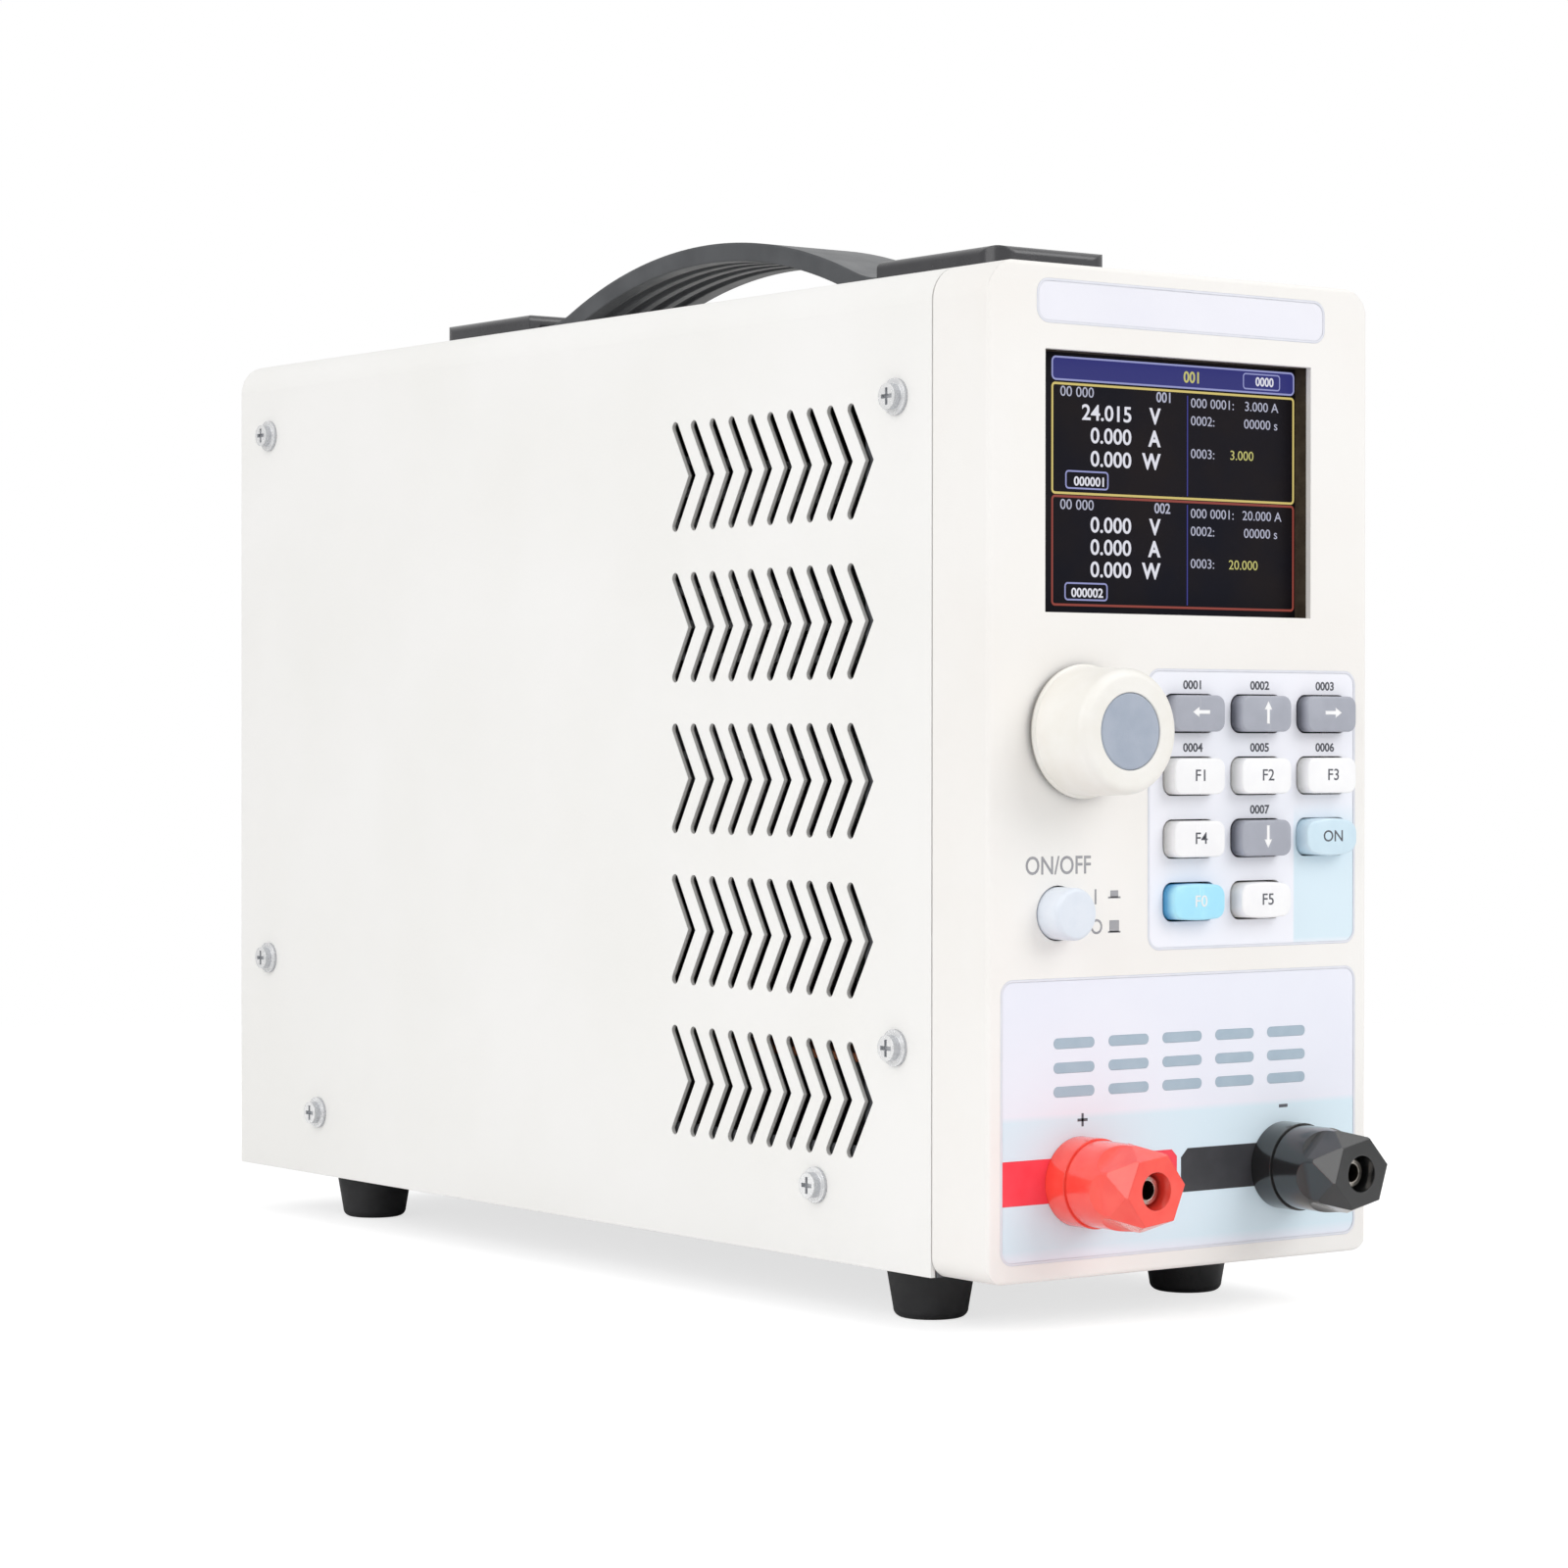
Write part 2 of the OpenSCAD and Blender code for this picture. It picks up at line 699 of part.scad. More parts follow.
// A standing outline with round upper and lower corners
module bezel_outline(w, h, upper_r, lower_r) {
    translate([-w / 2, lower_r]) square([w, h - upper_r - lower_r]);
    translate([-w / 2 + upper_r, h - 2 * upper_r]) square([w - 2 * upper_r, 2 * upper_r]);
    translate([-w / 2 + lower_r, 0]) square([w - 2 * lower_r, 2 * lower_r]);
    for (s = [-1, 1]) {
        translate([s * (w / 2 - upper_r), h - upper_r]) circle(upper_r);
        translate([s * (w / 2 - lower_r), lower_r]) circle(lower_r);
    }
}

// A section that runs back from 0 and has round front corners
module eased_section(w, d, r) {
    translate([-w / 2, r]) square([w, d - r]);
    translate([-w / 2 + r, 0]) square([w - 2 * r, 2 * r]);
    for (s = [-1, 1])
        translate([s * (w / 2 - r), r]) circle(r);
}

// A block about the depth axis whose front edges are round
module eased_block(w, h, d, r) {
    intersection() {
        translate([0, 0, -h / 2]) linear_extrude(h) eased_section(w, d, r);
        translate([-w / 2, 0, 0]) rotate([0, 90, 0]) linear_extrude(w) eased_section(h, d, r);
    }
}

// A screw along the depth axis: head behind y, shank towards the front
module pan_screw(d, head_d, head_h, length) {
    rod(d, -length, length + head_h / 2);
    difference() {
        rod(head_d, 0, head_h);
        for (a = [0, 90])
            rotate([0, a, 0])
                block(
                    [-head_d / 3, head_d / 3], [head_h - cross_t, head_h + over], [-cross_w / 2, cross_w / 2]
                );
    }
}

// One chevron slot in depth and height, its ends at the origin's depth
module chevron() {
    leg_h = vent_h / 2 - vent_slot_w / 2;
    lean = atan(vent_point / leg_h);
    half = vent_slot_w / 2;
    wide = half / cos(lean);
    tip = [half * cos(lean), half * sin(lean)];
    polygon([
        [tip[0], leg_h - tip[1]],
        [-vent_point + wide, 0],
        [tip[0], -leg_h + tip[1]],
        [-tip[0], -leg_h - tip[1]],
        [-vent_point - wide, 0],
        [-tip[0], leg_h + tip[1]]
    ]);
    for (s = [-1, 1])
        translate([0, s * leg_h]) circle(d = vent_slot_w);
}

module vents() {
    first_z = vent_low_z + vent_h / 2;
    for (col = [0 : vent_cols - 1], row = [0 : vent_rows - 1])
        translate([vent_front_y + col * vent_pitch_y, first_z + row * vent_pitch_z]) chevron();
}

// Places children at each cover screw, with the depth axis turned out of the side
module at_side_screws() {
    for (s = [-1, 1], p = SIDE_SCREWS)
        translate([s * case_w / 2, p[0], p[1]]) rotate([0, 0, -90 * s]) children();
}

module side_holes(d) {
    at_side_screws() rod(d, -2 * m3_len, 2 * m3_len + over);
}

module at_feet() {
    for (s = [-1, 1], y = [foot_inset_y, case_d - foot_inset_y])
        translate([s * (case_w / 2 - foot_inset_x), y, 0]) children();
}

// Places children at each end of the handle on the case's top, facing away from the middle
module at_handle_ends() {
    for (a = [0, 180])
        translate([0, handle_y, case_h]) rotate([0, 0, a]) children();
}

module at_fan() {
    translate([0, panel_in_y, fan_z]) children();
}

module at_fan_screws() {
    at_fan()
        for (sx = [-1, 1], sz = [-1, 1])
            translate([sx * fan_pitch / 2, 0, sz * fan_pitch / 2]) children();
}

module at_inlet_screws() {
    for (s = [-1, 1])
        translate([inlet_x + s * inlet_pitch / 2, 0, inlet_z]) children();
}

module at_keys() {
    for (key = KEYS)
        translate(key_place(key)) children();
}

// Side and floor flanges that the front frame and the rear panel share, folded towards +y
module fold_flanges() {
    for (s = [-1, 1])
        translate([s * (inner_half_w - sheet_t / 2), 0, 0])
            block([-sheet_t / 2, sheet_t / 2], [0, flange_d], [flange_low_z, flange_top_z]);
    floor_half_w = inner_half_w - 2 * sheet_t;
    block([-floor_half_w, floor_half_w], [0, foot_flange], [sheet_t, 2 * sheet_t]);
}

module chassis_tray() {
    color(steel_c) placed() difference() {
        union() {
            block([-inner_half_w, inner_half_w], [frame_y, panel_in_y], [0, sheet_t]);
            for (s = [-1, 1])
                translate([s * (inner_half_w - sheet_t / 2), 0, 0])
                    block([-sheet_t / 2, sheet_t / 2], [frame_y, panel_in_y], [0, flange_h]);
        }
        side_holes(m3_d + 2 * run_gap);
        at_feet() translate([0, 0, -over]) cylinder(d = m4_d + 2 * run_gap, h = sheet_t + 2 * over);
    }
}

module front_frame() {
    color(steel_c) placed() difference() {
        union() {
            along_y(bezel_d, sheet_t) difference() {
                arch(2 * inner_half_w, inner_h, inner_r);
                translate([0, inner_h / 2]) square([frame_open_w, inner_h - 2 * frame_rim], center = true);
            }
            translate([0, frame_y, 0]) fold_flanges();
        }
        side_holes(m3_d + 2 * run_gap);
        for (p = FRAME_BOSSES)
            translate([p[0], 0, p[1]]) rod(m3_d + 2 * screw_gap, bezel_d - over, sheet_t + 2 * over);
    }
}

module rear_panel() {
    color(paint_c) placed() difference() {
        union() {
            along_y(panel_in_y, sheet_t) arch(2 * inner_half_w, inner_h, inner_r);
            translate([0, panel_in_y, 0]) mirror([0, 1, 0]) fold_flanges();
        }
        side_holes(m3_d + 2 * run_gap);
        at_fan() rod(fan_w - 2 * fan_wall, -over, sheet_t + 2 * over);
        at_fan_screws() rod(m4_d + 2 * screw_gap, -over, sheet_t + 2 * over);
        at_inlet_screws() rod(m3_d + 2 * screw_gap, panel_in_y - over, sheet_t + 2 * over);
        block(
            [inlet_x - inlet_body_w / 2 - seat_gap, inlet_x + inlet_body_w / 2 + seat_gap],
            [panel_in_y - over, panel_out_y + over],
            [inlet_low_z - seat_gap, inlet_low_z + inlet_h + seat_gap]
        );
        translate([port_x, 0, port_z]) along_y(panel_in_y - over, sheet_t + 2 * over) {
            square([port_w + 2 * screw_gap, port_h + 2 * screw_gap], center = true);
            for (s = [-1, 1])
                translate([s * port_pitch / 2, 0]) circle(d = m3_d + 2 * screw_gap);
        }
    }
}

module top_cover() {
    color(paint_c) placed() difference() {
        along_y(cover_y, case_d - cover_y) difference() {
            arch(case_w, case_h, top_r);
            translate([0, -over]) arch(case_w - 2 * sheet_t, case_h - sheet_t + over, top_r - sheet_t);
        }
        for (s = [-1, 1])
            along_x(s * (case_w - sheet_t) / 2 - sheet_t, 2 * sheet_t) vents();
        side_holes(m3_d + 2 * screw_gap);
        at_handle_ends() translate([0, grip_half + end_boss_y, -sheet_t - over])
            cylinder(d = m4_d + 2 * screw_gap, h = sheet_t + 2 * over);
    }
}

// Sockets and bosses behind the bezel's face
module bezel_bosses() {
    for (p = BOARD_BOSSES)
        translate([p[0], 0, p[1]]) rod(boss_d, bezel_face_t - seat_gap, board_y - bezel_face_t + seat_gap);
    for (p = FRAME_BOSSES)
        translate([p[0], 0, p[1]]) rod(boss_d, bezel_face_t - seat_gap, bezel_d - bezel_face_t + seat_gap);
}

module bezel_cuts() {
    translate([window_x, 0, window_z]) {
        along_y(-over, bezel_face_t + 2 * over) square([window_w, window_h], center = true);
        gasket_w = 2 * gasket_t + 2 * seat_gap;
        along_y(window_lip, bezel_face_t) square([window_w + gasket_w, window_h + gasket_w], center = true);
    }
    at_keys() along_y(-over, bezel_face_t + 2 * over)
        round_rect(key_w + 2 * slide_gap, key_h + 2 * slide_gap, key_r + slide_gap);
    translate([knob_x, 0, knob_z]) rod(bushing_d + 2 * slide_gap, -over, bezel_face_t + 2 * over);
    translate([button_x, 0, button_z]) rod(button_d + 2 * slide_gap, -over, bezel_face_t + 2 * over);
    for (s = [-1, 1])
        translate([s * post_x, 0, post_z]) rod(spigot_d + 2 * seat_gap, -over, bezel_face_t + 2 * over);
    along_y(-over, film_depth + over) {
        translate([0, title_z]) round_rect(title_w + 2 * seat_gap, title_h + 2 * seat_gap, film_r);
        translate([keypad_x, keypad_z]) round_rect(keypad_w + 2 * seat_gap, keypad_h + 2 * seat_gap, film_r);
        translate([0, input_z]) round_rect(input_w + 2 * seat_gap, input_h + 2 * seat_gap, film_r);
    }
    for (p = BOARD_BOSSES)
        translate([p[0], 0, p[1]]) rod(m3_d + 2 * run_gap, board_y - m3_len, m3_len + over);
    for (p = FRAME_BOSSES)
        translate([p[0], 0, p[1]]) rod(m3_d + 2 * run_gap, bezel_d - m3_len, m3_len + over);
}

module front_bezel() {
    inner_w = case_w - 2 * bezel_wall;
    color(bezel_c) placed() difference() {
        union() {
            difference() {
                intersection() {
                    along_y(0, bezel_d) bezel_outline(case_w, case_h, top_r, bezel_low_r);
                    translate([0, 0, case_h / 2]) eased_block(case_w, case_h, bezel_d, bezel_edge_r);
                }
                translate([0, 0, bezel_wall]) along_y(bezel_face_t, bezel_d) bezel_outline(
                    inner_w, case_h - 2 * bezel_wall, top_r - bezel_wall, max(bezel_low_r - bezel_wall, 1)
                );
            }
            bezel_bosses();
        }
        bezel_cuts();
    }
}

module cover_screws() {
    color(steel_c) placed() at_side_screws() {
        rod(flange_screw_d, 0, flange_screw_t);
        translate([0, flange_screw_t, 0]) pan_screw(m3_d, m3_head_d, m3_head_h, m3_len + flange_screw_t);
    }
}

module small_screws() {
    color(steel_c) placed() {
        for (p = BOARD_BOSSES)
            translate([p[0], board_y + board_t, p[1]]) pan_screw(m3_d, m3_head_d, m3_head_h, m3_len);
        for (p = FRAME_BOSSES)
            translate([p[0], frame_y, p[1]]) pan_screw(m3_d, m3_head_d, m3_head_h, m3_len);
        at_inlet_screws() translate([0, inlet_face_y, 0]) pan_screw(m3_d, m3_head_d, m3_head_h, m3_len);
    }
}

module large_screws() {
    color(steel_c) placed() {
        at_feet() translate([0, 0, foot_recess - foot_h]) rotate([-90, 0, 0])
            pan_screw(m4_d, m4_head_d, m4_head_h, foot_h - foot_recess + sheet_t + m4_head_h);
        at_handle_ends() translate([0, grip_half + end_boss_y, -sheet_t]) rotate([-90, 0, 0])
            pan_screw(m4_d, m4_head_d, m4_head_h, m4_len);
        at_fan_screws() translate([0, sheet_t + wire_w, 0]) pan_screw(m4_d, m4_head_d, m4_head_h, m4_len);
    }
}

module foot(side, y) {
    low_r = foot_low_d / 2;
    color(dark_c) placed() translate([side * (case_w / 2 - foot_inset_x), y, -foot_h]) difference() {
        rotate_extrude() {
            polygon([[0, foot_round], [low_r, foot_round], [foot_d / 2, foot_h], [0, foot_h]]);
            square([low_r - foot_round, foot_h / 2]);
            translate([low_r - foot_round, foot_round]) intersection() {
                circle(foot_round);
                square([2 * foot_round, 2 * foot_round], center = true);
            }
        }
        translate([0, 0, -over]) cylinder(d = m4_head_d + 2 * slide_gap, h = foot_recess + over);
        cylinder(d = m4_d + 2 * screw_gap, h = foot_h + over);
    }
}

module foot_front_left() { foot(-1, foot_inset_y); }

module foot_front_right() { foot(1, foot_inset_y); }

module foot_rear_left() { foot(-1, case_d - foot_inset_y); }

module foot_rear_right() { foot(1, case_d - foot_inset_y); }

// Side view of the strap's rear half at a depth below its top face: crown, bend and straight end
function strap_half(depth) = concat(
    [for (i = [0 : crown_steps]) let (a = bend_a * i / crown_steps, r = strap_r - depth)
        [r * sin(a), crown_z + r * cos(a)]],
    [for (i = [bend_steps - 1 : -1 : 0]) let (a = bend_a * i / bend_steps, r = strap_bend_r + depth)
        [bend_y - r * sin(a), strap_low + strap_bend_r - r * cos(a)]],
    [[grip_half + tail_len, strap_low - depth]]
);
function mirrored(points) = [for (i = [len(points) - 1 : -1 : 1]) [-points[i][0], points[i][1]]];
function reversed(points) = [for (i = [len(points) - 1 : -1 : 0]) points[i]];
function strap_line(depth) = concat(mirrored(strap_half(depth)), strap_half(depth));

// Side view of the strap between two depths below its top face
module strap_side(upper, lower) {
    polygon(concat(strap_line(upper), reversed(strap_line(lower))));
}

module handle_strap() {
    pitch = (strap_w - 2 * groove_w) / strap_grooves;
    color(dark_c) placed() translate([0, handle_y, case_h]) difference() {
        along_x(-strap_w / 2, strap_w) strap_side(0, strap_t);
        for (i = [0 : strap_grooves - 1])
            along_x((i - (strap_grooves - 1) / 2) * pitch - groove_w / 2, groove_w)
                strap_side(strap_t - groove_t, strap_t + over);
        for (s = [-1, 1])
            translate([0, s * (grip_half + end_boss_y), 0]) strap_slot();
    }
}

// The long hole that lets a strap's end slide past the boss of its cap
module strap_slot() {
    slot_w = end_boss_d + 2 * slide_gap;
    half = (slot_len - slot_w) / 2;
    translate([0, 0, -over]) linear_extrude(strap_low + 2 * over) {
        square([slot_w, 2 * half], center = true);
        for (s = [-1, 1])
            translate([0, s * half]) circle(d = slot_w);
    }
}

// An end cap that runs from the mouth away from the handle's middle
module handle_cap() {
    pocket_w = strap_w + 2 * slide_gap;
    difference() {
        intersection() {
            translate([0, end_cap_len / 2, 0]) linear_extrude(end_cap_h) difference() {
                square([end_cap_w, end_cap_len], center = true);
                for (s = [-1, 1])
                    translate([s * (end_cap_w / 2 - end_cap_r), end_cap_len / 2 - end_cap_r]) difference() {
                        translate([s > 0 ? 0 : -end_cap_r - over, 0]) square(end_cap_r + over);
                        circle(end_cap_r);
                    }
            }
            translate([0, 0, end_cap_h]) rotate([-90, 0, 0])
                linear_extrude(end_cap_len) eased_section(end_cap_w, end_cap_h, end_cap_edge_r);
            translate([-end_cap_w / 2, end_cap_len / 2, end_cap_h]) rotate([0, 90, 0])
                linear_extrude(end_cap_w) rotate(-90) eased_section(end_cap_len, end_cap_h, end_cap_edge_r);
        }
        difference() {
            block([-pocket_w / 2, pocket_w / 2], [-over, pocket_len], [-over, strap_low + slide_gap]);
            translate([0, end_boss_y, -2 * over]) cylinder(d = end_boss_d, h = end_cap_h);
        }
        translate([0, end_boss_y, -over]) cylinder(d = m4_d + 2 * run_gap, h = m4_len - sheet_t + over);
    }
}

module handle_cap_front() {
    color(dark_c) placed() translate([0, handle_y - grip_half, case_h]) rotate([0, 0, 180]) handle_cap();
}

module handle_cap_rear() {
    color(dark_c) placed() translate([0, handle_y + grip_half, case_h]) handle_cap();
}

module display_gasket() {
    color(dark_c) placed() translate([window_x, 0, window_z]) along_y(window_lip, lcd_depth - window_lip)
        difference() {
            square([window_w + 2 * gasket_t, window_h + 2 * gasket_t], center = true);
            square([window_w, window_h], center = true);
        }
}

module display_module() {
    color([0.1, 0.11, 0.2]) placed() translate([window_x, 0, window_z])
        block([-lcd_w / 2, lcd_w / 2], [lcd_depth, board_y], [-lcd_h / 2, lcd_h / 2]);
}

module front_board() {
    color(board_c) placed() difference() {
        block([-board_half_w, board_half_w], [board_y, board_y + board_t], [board_low_z, board_top_z]);
        for (p = BOARD_BOSSES)
            translate([p[0], 0, p[1]]) rod(m3_d + 2 * screw_gap, board_y - over, board_t + 2 * over);
        translate([button_x, 0, button_z]) rod(plunger_d + 2 * slide_gap, board_y - over, board_t + 2 * over);
    }
}

// A printed film in its recess, with its front face just below the bezel's
module film(w, h) {
    along_y(film_depth - film_t, film_t) round_rect(w, h, film_r);
}

module keypad_overlay() {
    color(film_c) placed() difference() {
        translate([keypad_x, 0, keypad_z]) film(keypad_w, keypad_h);
        at_keys() along_y(-over, bezel_face_t)
            round_rect(key_w + 2 * slide_gap, key_h + 2 * slide_gap, key_r + slide_gap);
    }
}

module input_overlay() {
    color(film_c) placed() difference() {
        translate([0, 0, input_z]) film(input_w, input_h);
        for (s = [-1, 1])
            translate([s * post_x, 0, post_z]) rod(spigot_d + 2 * seat_gap, -over, bezel_face_t);
    }
}

module title_overlay() {
    color(film_c) placed() translate([0, 0, title_z]) film(title_w, title_h);
}

// A key: the cap through the bezel, the lip behind it and the stem into its switch
module key_cap(key, colour) {
    color(colour) placed() translate(key_place(key)) {
        intersection() {
            along_y(-key_rise, key_rise + lip_y) round_rect(key_w, key_h, key_r);
            translate([0, -key_rise, 0]) eased_block(key_w, key_h, key_rise + lip_y, key_edge_r);
        }
        along_y(lip_y, key_lip_t) round_rect(key_w + 2 * key_lip, key_h + 2 * key_lip, key_r);
        rod(key_stem_d, lip_y, stem_end_y - lip_y);
    }
}

grey_key_c = [0.68, 0.69, 0.74];
white_key_c = [0.97, 0.97, 0.97];

module key_left() { key_cap(KEY_LEFT, grey_key_c); }

module key_up() { key_cap(KEY_UP, grey_key_c); }

module key_right() { key_cap(KEY_RIGHT, grey_key_c); }

module key_f1() { key_cap(KEY_F1, white_key_c); }

module key_f2() { key_cap(KEY_F2, white_key_c); }

module key_f3() { key_cap(KEY_F3, white_key_c); }

module key_f4() { key_cap(KEY_F4, white_key_c); }

module key_down() { key_cap(KEY_DOWN, grey_key_c); }

module key_on() { key_cap(KEY_ON, [0.84, 0.93, 0.97]); }

module key_blue() { key_cap(KEY_BLUE, [0.47, 0.8, 0.97]); }

module key_f5() { key_cap(KEY_F5, white_key_c); }

module key_switches() {
    color(dark_c) placed() at_keys() difference() {
        block([-switch_w / 2, switch_w / 2], [switch_y, board_y], [-switch_w / 2, switch_w / 2]);
        rod(key_stem_d + 2 * run_gap, switch_y - over, stem_end_y - switch_y + stem_room + over);
    }
}

// The shaft ends short of the board, inside the encoder's housing
shaft_end_y = board_y - slide_gap;
shaft_front_y = -knob_gap - shaft_grip;

module encoder_body() {
    color(steel_c) placed() translate([knob_x, 0, knob_z]) difference() {
        union() {
            block([-encoder_w / 2, encoder_w / 2], [lip_y, board_y], [-encoder_w / 2, encoder_w / 2]);
            rod(bushing_d, slide_gap, lip_y);
        }
        rod(shaft_d + 2 * run_gap, -over, board_y + 2 * over);
    }
}

module encoder_shaft() {
    color(steel_c) placed() translate([knob_x, 0, knob_z])
        rod(shaft_d, shaft_front_y, shaft_end_y - shaft_front_y);
}

// Half section of the knob: x is the radius, y runs from the rear rim to the front
module knob_section() {
    front_r = knob_front_d / 2;
    shoulder = knob_len - knob_round;
    difference() {
        union() {
            square([knob_base_d / 2, knob_rim_t]);
            polygon([[0, 0], [knob_base_d / 2 - knob_rim_t / 2, 0], [front_r, shoulder], [0, shoulder]]);
            square([front_r - knob_round, knob_len]);
            translate([front_r - knob_round, shoulder]) intersection() {
                circle(knob_round);
                square(2 * knob_round);
            }
        }
        translate([-over, knob_len - knob_insert_t])
            square([knob_insert_d / 2 + seat_gap + over, 2 * knob_insert_t]);
        translate([-over, -over]) square([shaft_d / 2 + run_gap / 2 + over, shaft_grip + over]);
        translate([knob_hub_d / 2, -over])
            square([front_r - knob_wall - knob_hub_d / 2, shaft_grip - knob_wall + over]);
    }
}

// Turns a half section about the depth axis, its rear at y and its front towards -y
module turned(y) {
    translate([0, y, 0]) rotate([90, 0, 0]) rotate_extrude($fn = 96) children();
}

module knob() {
    color([0.96, 0.95, 0.92]) placed() translate([knob_x, 0, knob_z]) turned(-knob_gap) knob_section();
}

module knob_insert() {
    color([0.67, 0.7, 0.76]) placed() translate([knob_x, -knob_gap - knob_len, knob_z])
        rod(knob_insert_d, 0, knob_insert_t);
}

// The plunger stays in its bore at rest and has room for the whole travel
plunger_end_y = board_y + board_t + 2 * plunger_d;

module power_button() {
    r = button_d / 2;
    color([0.93, 0.95, 0.98]) placed() translate([button_x, 0, button_z]) {
        turned(button_tail) {
            square([r, button_tail + button_rise - button_round]);
            square([r - button_round, button_tail + button_rise]);
            translate([r - button_round, button_tail + button_rise - button_round]) intersection() {
                circle(button_round);
                square(2 * button_round);
            }
        }
        rod(plunger_d, button_tail, plunger_end_y - button_tail);
    }
}

module power_switch() {
    color(dark_c) placed() translate([button_x, 0, button_z]) difference() {
        block(
            [-power_switch_w / 2, power_switch_w / 2],
            [board_y + board_t, board_y + board_t + power_switch_len],
            [-power_switch_w / 2, power_switch_w / 2]
        );
        rod(plunger_d + 2 * run_gap, board_y, plunger_end_y - board_y + button_travel + slide_gap);
    }
}

module post_base(side, colour) {
    color(colour) placed() translate([side * post_x, 0, post_z]) difference() {
        union() {
            rod(post_base_d, -post_base_len, post_base_len);
            rod(spigot_d, -seat_gap, bezel_face_t + seat_gap);
        }
        rod(stud_d + 2 * run_gap, -post_base_len - over, post_base_len + bezel_face_t + 2 * over);
        rod(shoulder_d + 2 * run_gap, -post_base_len - over, shoulder_t + over);
    }
}

module post_stud(side) {
    stud_y = cap_y + stud_setback;
    color(steel_c) placed() translate([side * post_x, 0, post_z]) difference() {
        union() {
            rod(stud_d, stud_y, stud_tail - stud_y);
            rod(shoulder_d, -post_base_len, shoulder_t);
        }
        rod(plug_d, stud_y - over, plug_len + over);
        translate([0, -post_base_len - slide_gap - washer_t - wire_d, 0])
            cylinder(d = wire_d, h = stud_d, center = true);
    }
}

module post_washer(side) {
    color(steel_c) placed() translate([side * post_x, 0, post_z]) difference() {
        rod(washer_d, -post_base_len - slide_gap - washer_t, washer_t);
        rod(stud_d + 2 * run_gap, -post_base_len - slide_gap - washer_t - over, washer_t + 2 * over);
    }
}

// Half section of a cap: x is the radius, y runs from the rear face to the front
module cap_section() {
    pocket = washer_t + slide_gap;
    difference() {
        square([cap_d / 2, cap_len]);
        translate([-over, -over]) square([washer_d / 2 + slide_gap + over, pocket + over]);
        translate([-over, 0]) square([stud_d / 2 + run_gap + over, cap_len]);
        translate([-over, cap_len - mouth_len]) square([mouth_d / 2 + over, mouth_len + over]);
    }
}

// Section that cuts one flat: the flat runs to the front and ends in a scallop at the barrel
module flat_cut() {
    scallop_y = cap_barrel_len + cap_scallop_r;
    translate([cap_hex_w / 2, scallop_y]) square([cap_d, cap_len]);
    translate([cap_hex_w / 2 + cap_scallop_r, scallop_y]) circle(cap_scallop_r);
}

// Section that cuts one corner: the facet leans in towards the front
module facet_cut() {
    front_r = cap_front_w / 2;
    slope = cap_facet_len / (cap_d / 2 - front_r);
    polygon([
        [front_r, cap_len], [cap_d, cap_len - slope * (cap_d - front_r)],
        [cap_d, cap_len + over], [front_r, cap_len + over]
    ]);
}

// Cutter made from one of those sections, turned about the cap's axis
module cap_cutter(angle) {
    rotate([0, angle, 0]) rotate([180, 0, 0]) translate([0, 0, -cap_d / 2]) linear_extrude(cap_d) children();
}

// Angle between a corner of the hexagon and the line where the turned section starts
corner_lead = 12;

module post_cap(side, turn, colour) {
    color(colour) placed() translate([side * post_x, -post_base_len - slide_gap, post_z])
        rotate([0, turn + corner_lead, 0]) difference() {
            turned(0) cap_section();
            for (i = [0 : 5]) {
                cap_cutter(30 - corner_lead + i * 60) flat_cut();
                cap_cutter(i * 60 - corner_lead) facet_cut();
            }
        }
}

red_c = [0.93, 0.25, 0.22];
black_c = [0.2, 0.2, 0.21];

module red_post_base() { post_base(-1, red_c); }

module red_post_stud() { post_stud(-1); }

module red_post_cap() { post_cap(-1, red_turn, red_c); }

module red_post_washer() { post_washer(-1); }

module black_post_base() { post_base(1, black_c); }

module black_post_stud() { post_stud(1); }

module black_post_cap() { post_cap(1, black_turn, black_c); }

module black_post_washer() { post_washer(1); }

// The stack on each stud behind the bezel: plain washer, copper bar, nut
bar_y = bezel_face_t + plain_t;

module post_hardware() {
    bore_d = stud_d + 2 * run_gap;
    color(steel_c) placed() for (s = [-1, 1])
        translate([s * post_x, 0, post_z]) {
            difference() {
                rod(plain_d, bezel_face_t, plain_t);
                rod(bore_d, bezel_face_t - over, plain_t + 2 * over);
            }
            difference() {
                rotate([0, 30, 0]) translate([0, bar_y + bar_t + nut_t, 0]) rotate([90, 0, 0])
                    cylinder(d = nut_w / cos(30), h = nut_t, $fn = 6);
                rod(bore_d, bar_y, bar_t + nut_t + over);
            }
        }
}

module copper_bars() {
    color(copper_c) placed() for (s = [-1, 1])
        translate([s * post_x, 0, 0]) difference() {
            union() {
                block([-bar_w / 2, bar_w / 2], [bar_y, bar_y + bar_t], [post_z - bar_w / 2, bar_z]);
                block([-bar_w / 2, bar_w / 2], [bar_y, bar_end_y], [bar_z - bar_t, bar_z]);
            }
            translate([0, 0, post_z]) rod(stud_d + 2 * screw_gap, bar_y - over, bar_t + 2 * over);
        }
}

module heat_sink() {
    color([0.7, 0.71, 0.73]) placed() translate([0, sink_y, 0]) {
        block([sink_x, sink_x + sink_t], [0, sink_len], [flange_low_z, sink_top_z]);
        block([sink_x, sink_x + sink_t], [0, sink_leg_len], [sheet_t, flange_h + flange_low_z]);
        for (i = [0 : fins - 1])
            translate([0, 0, fan_z - fins_h / 2 + i * fin_pitch])
                block([sink_x - fin_len, sink_x + sink_t / 2], [0, sink_len], [0, fin_t]);
    }
}

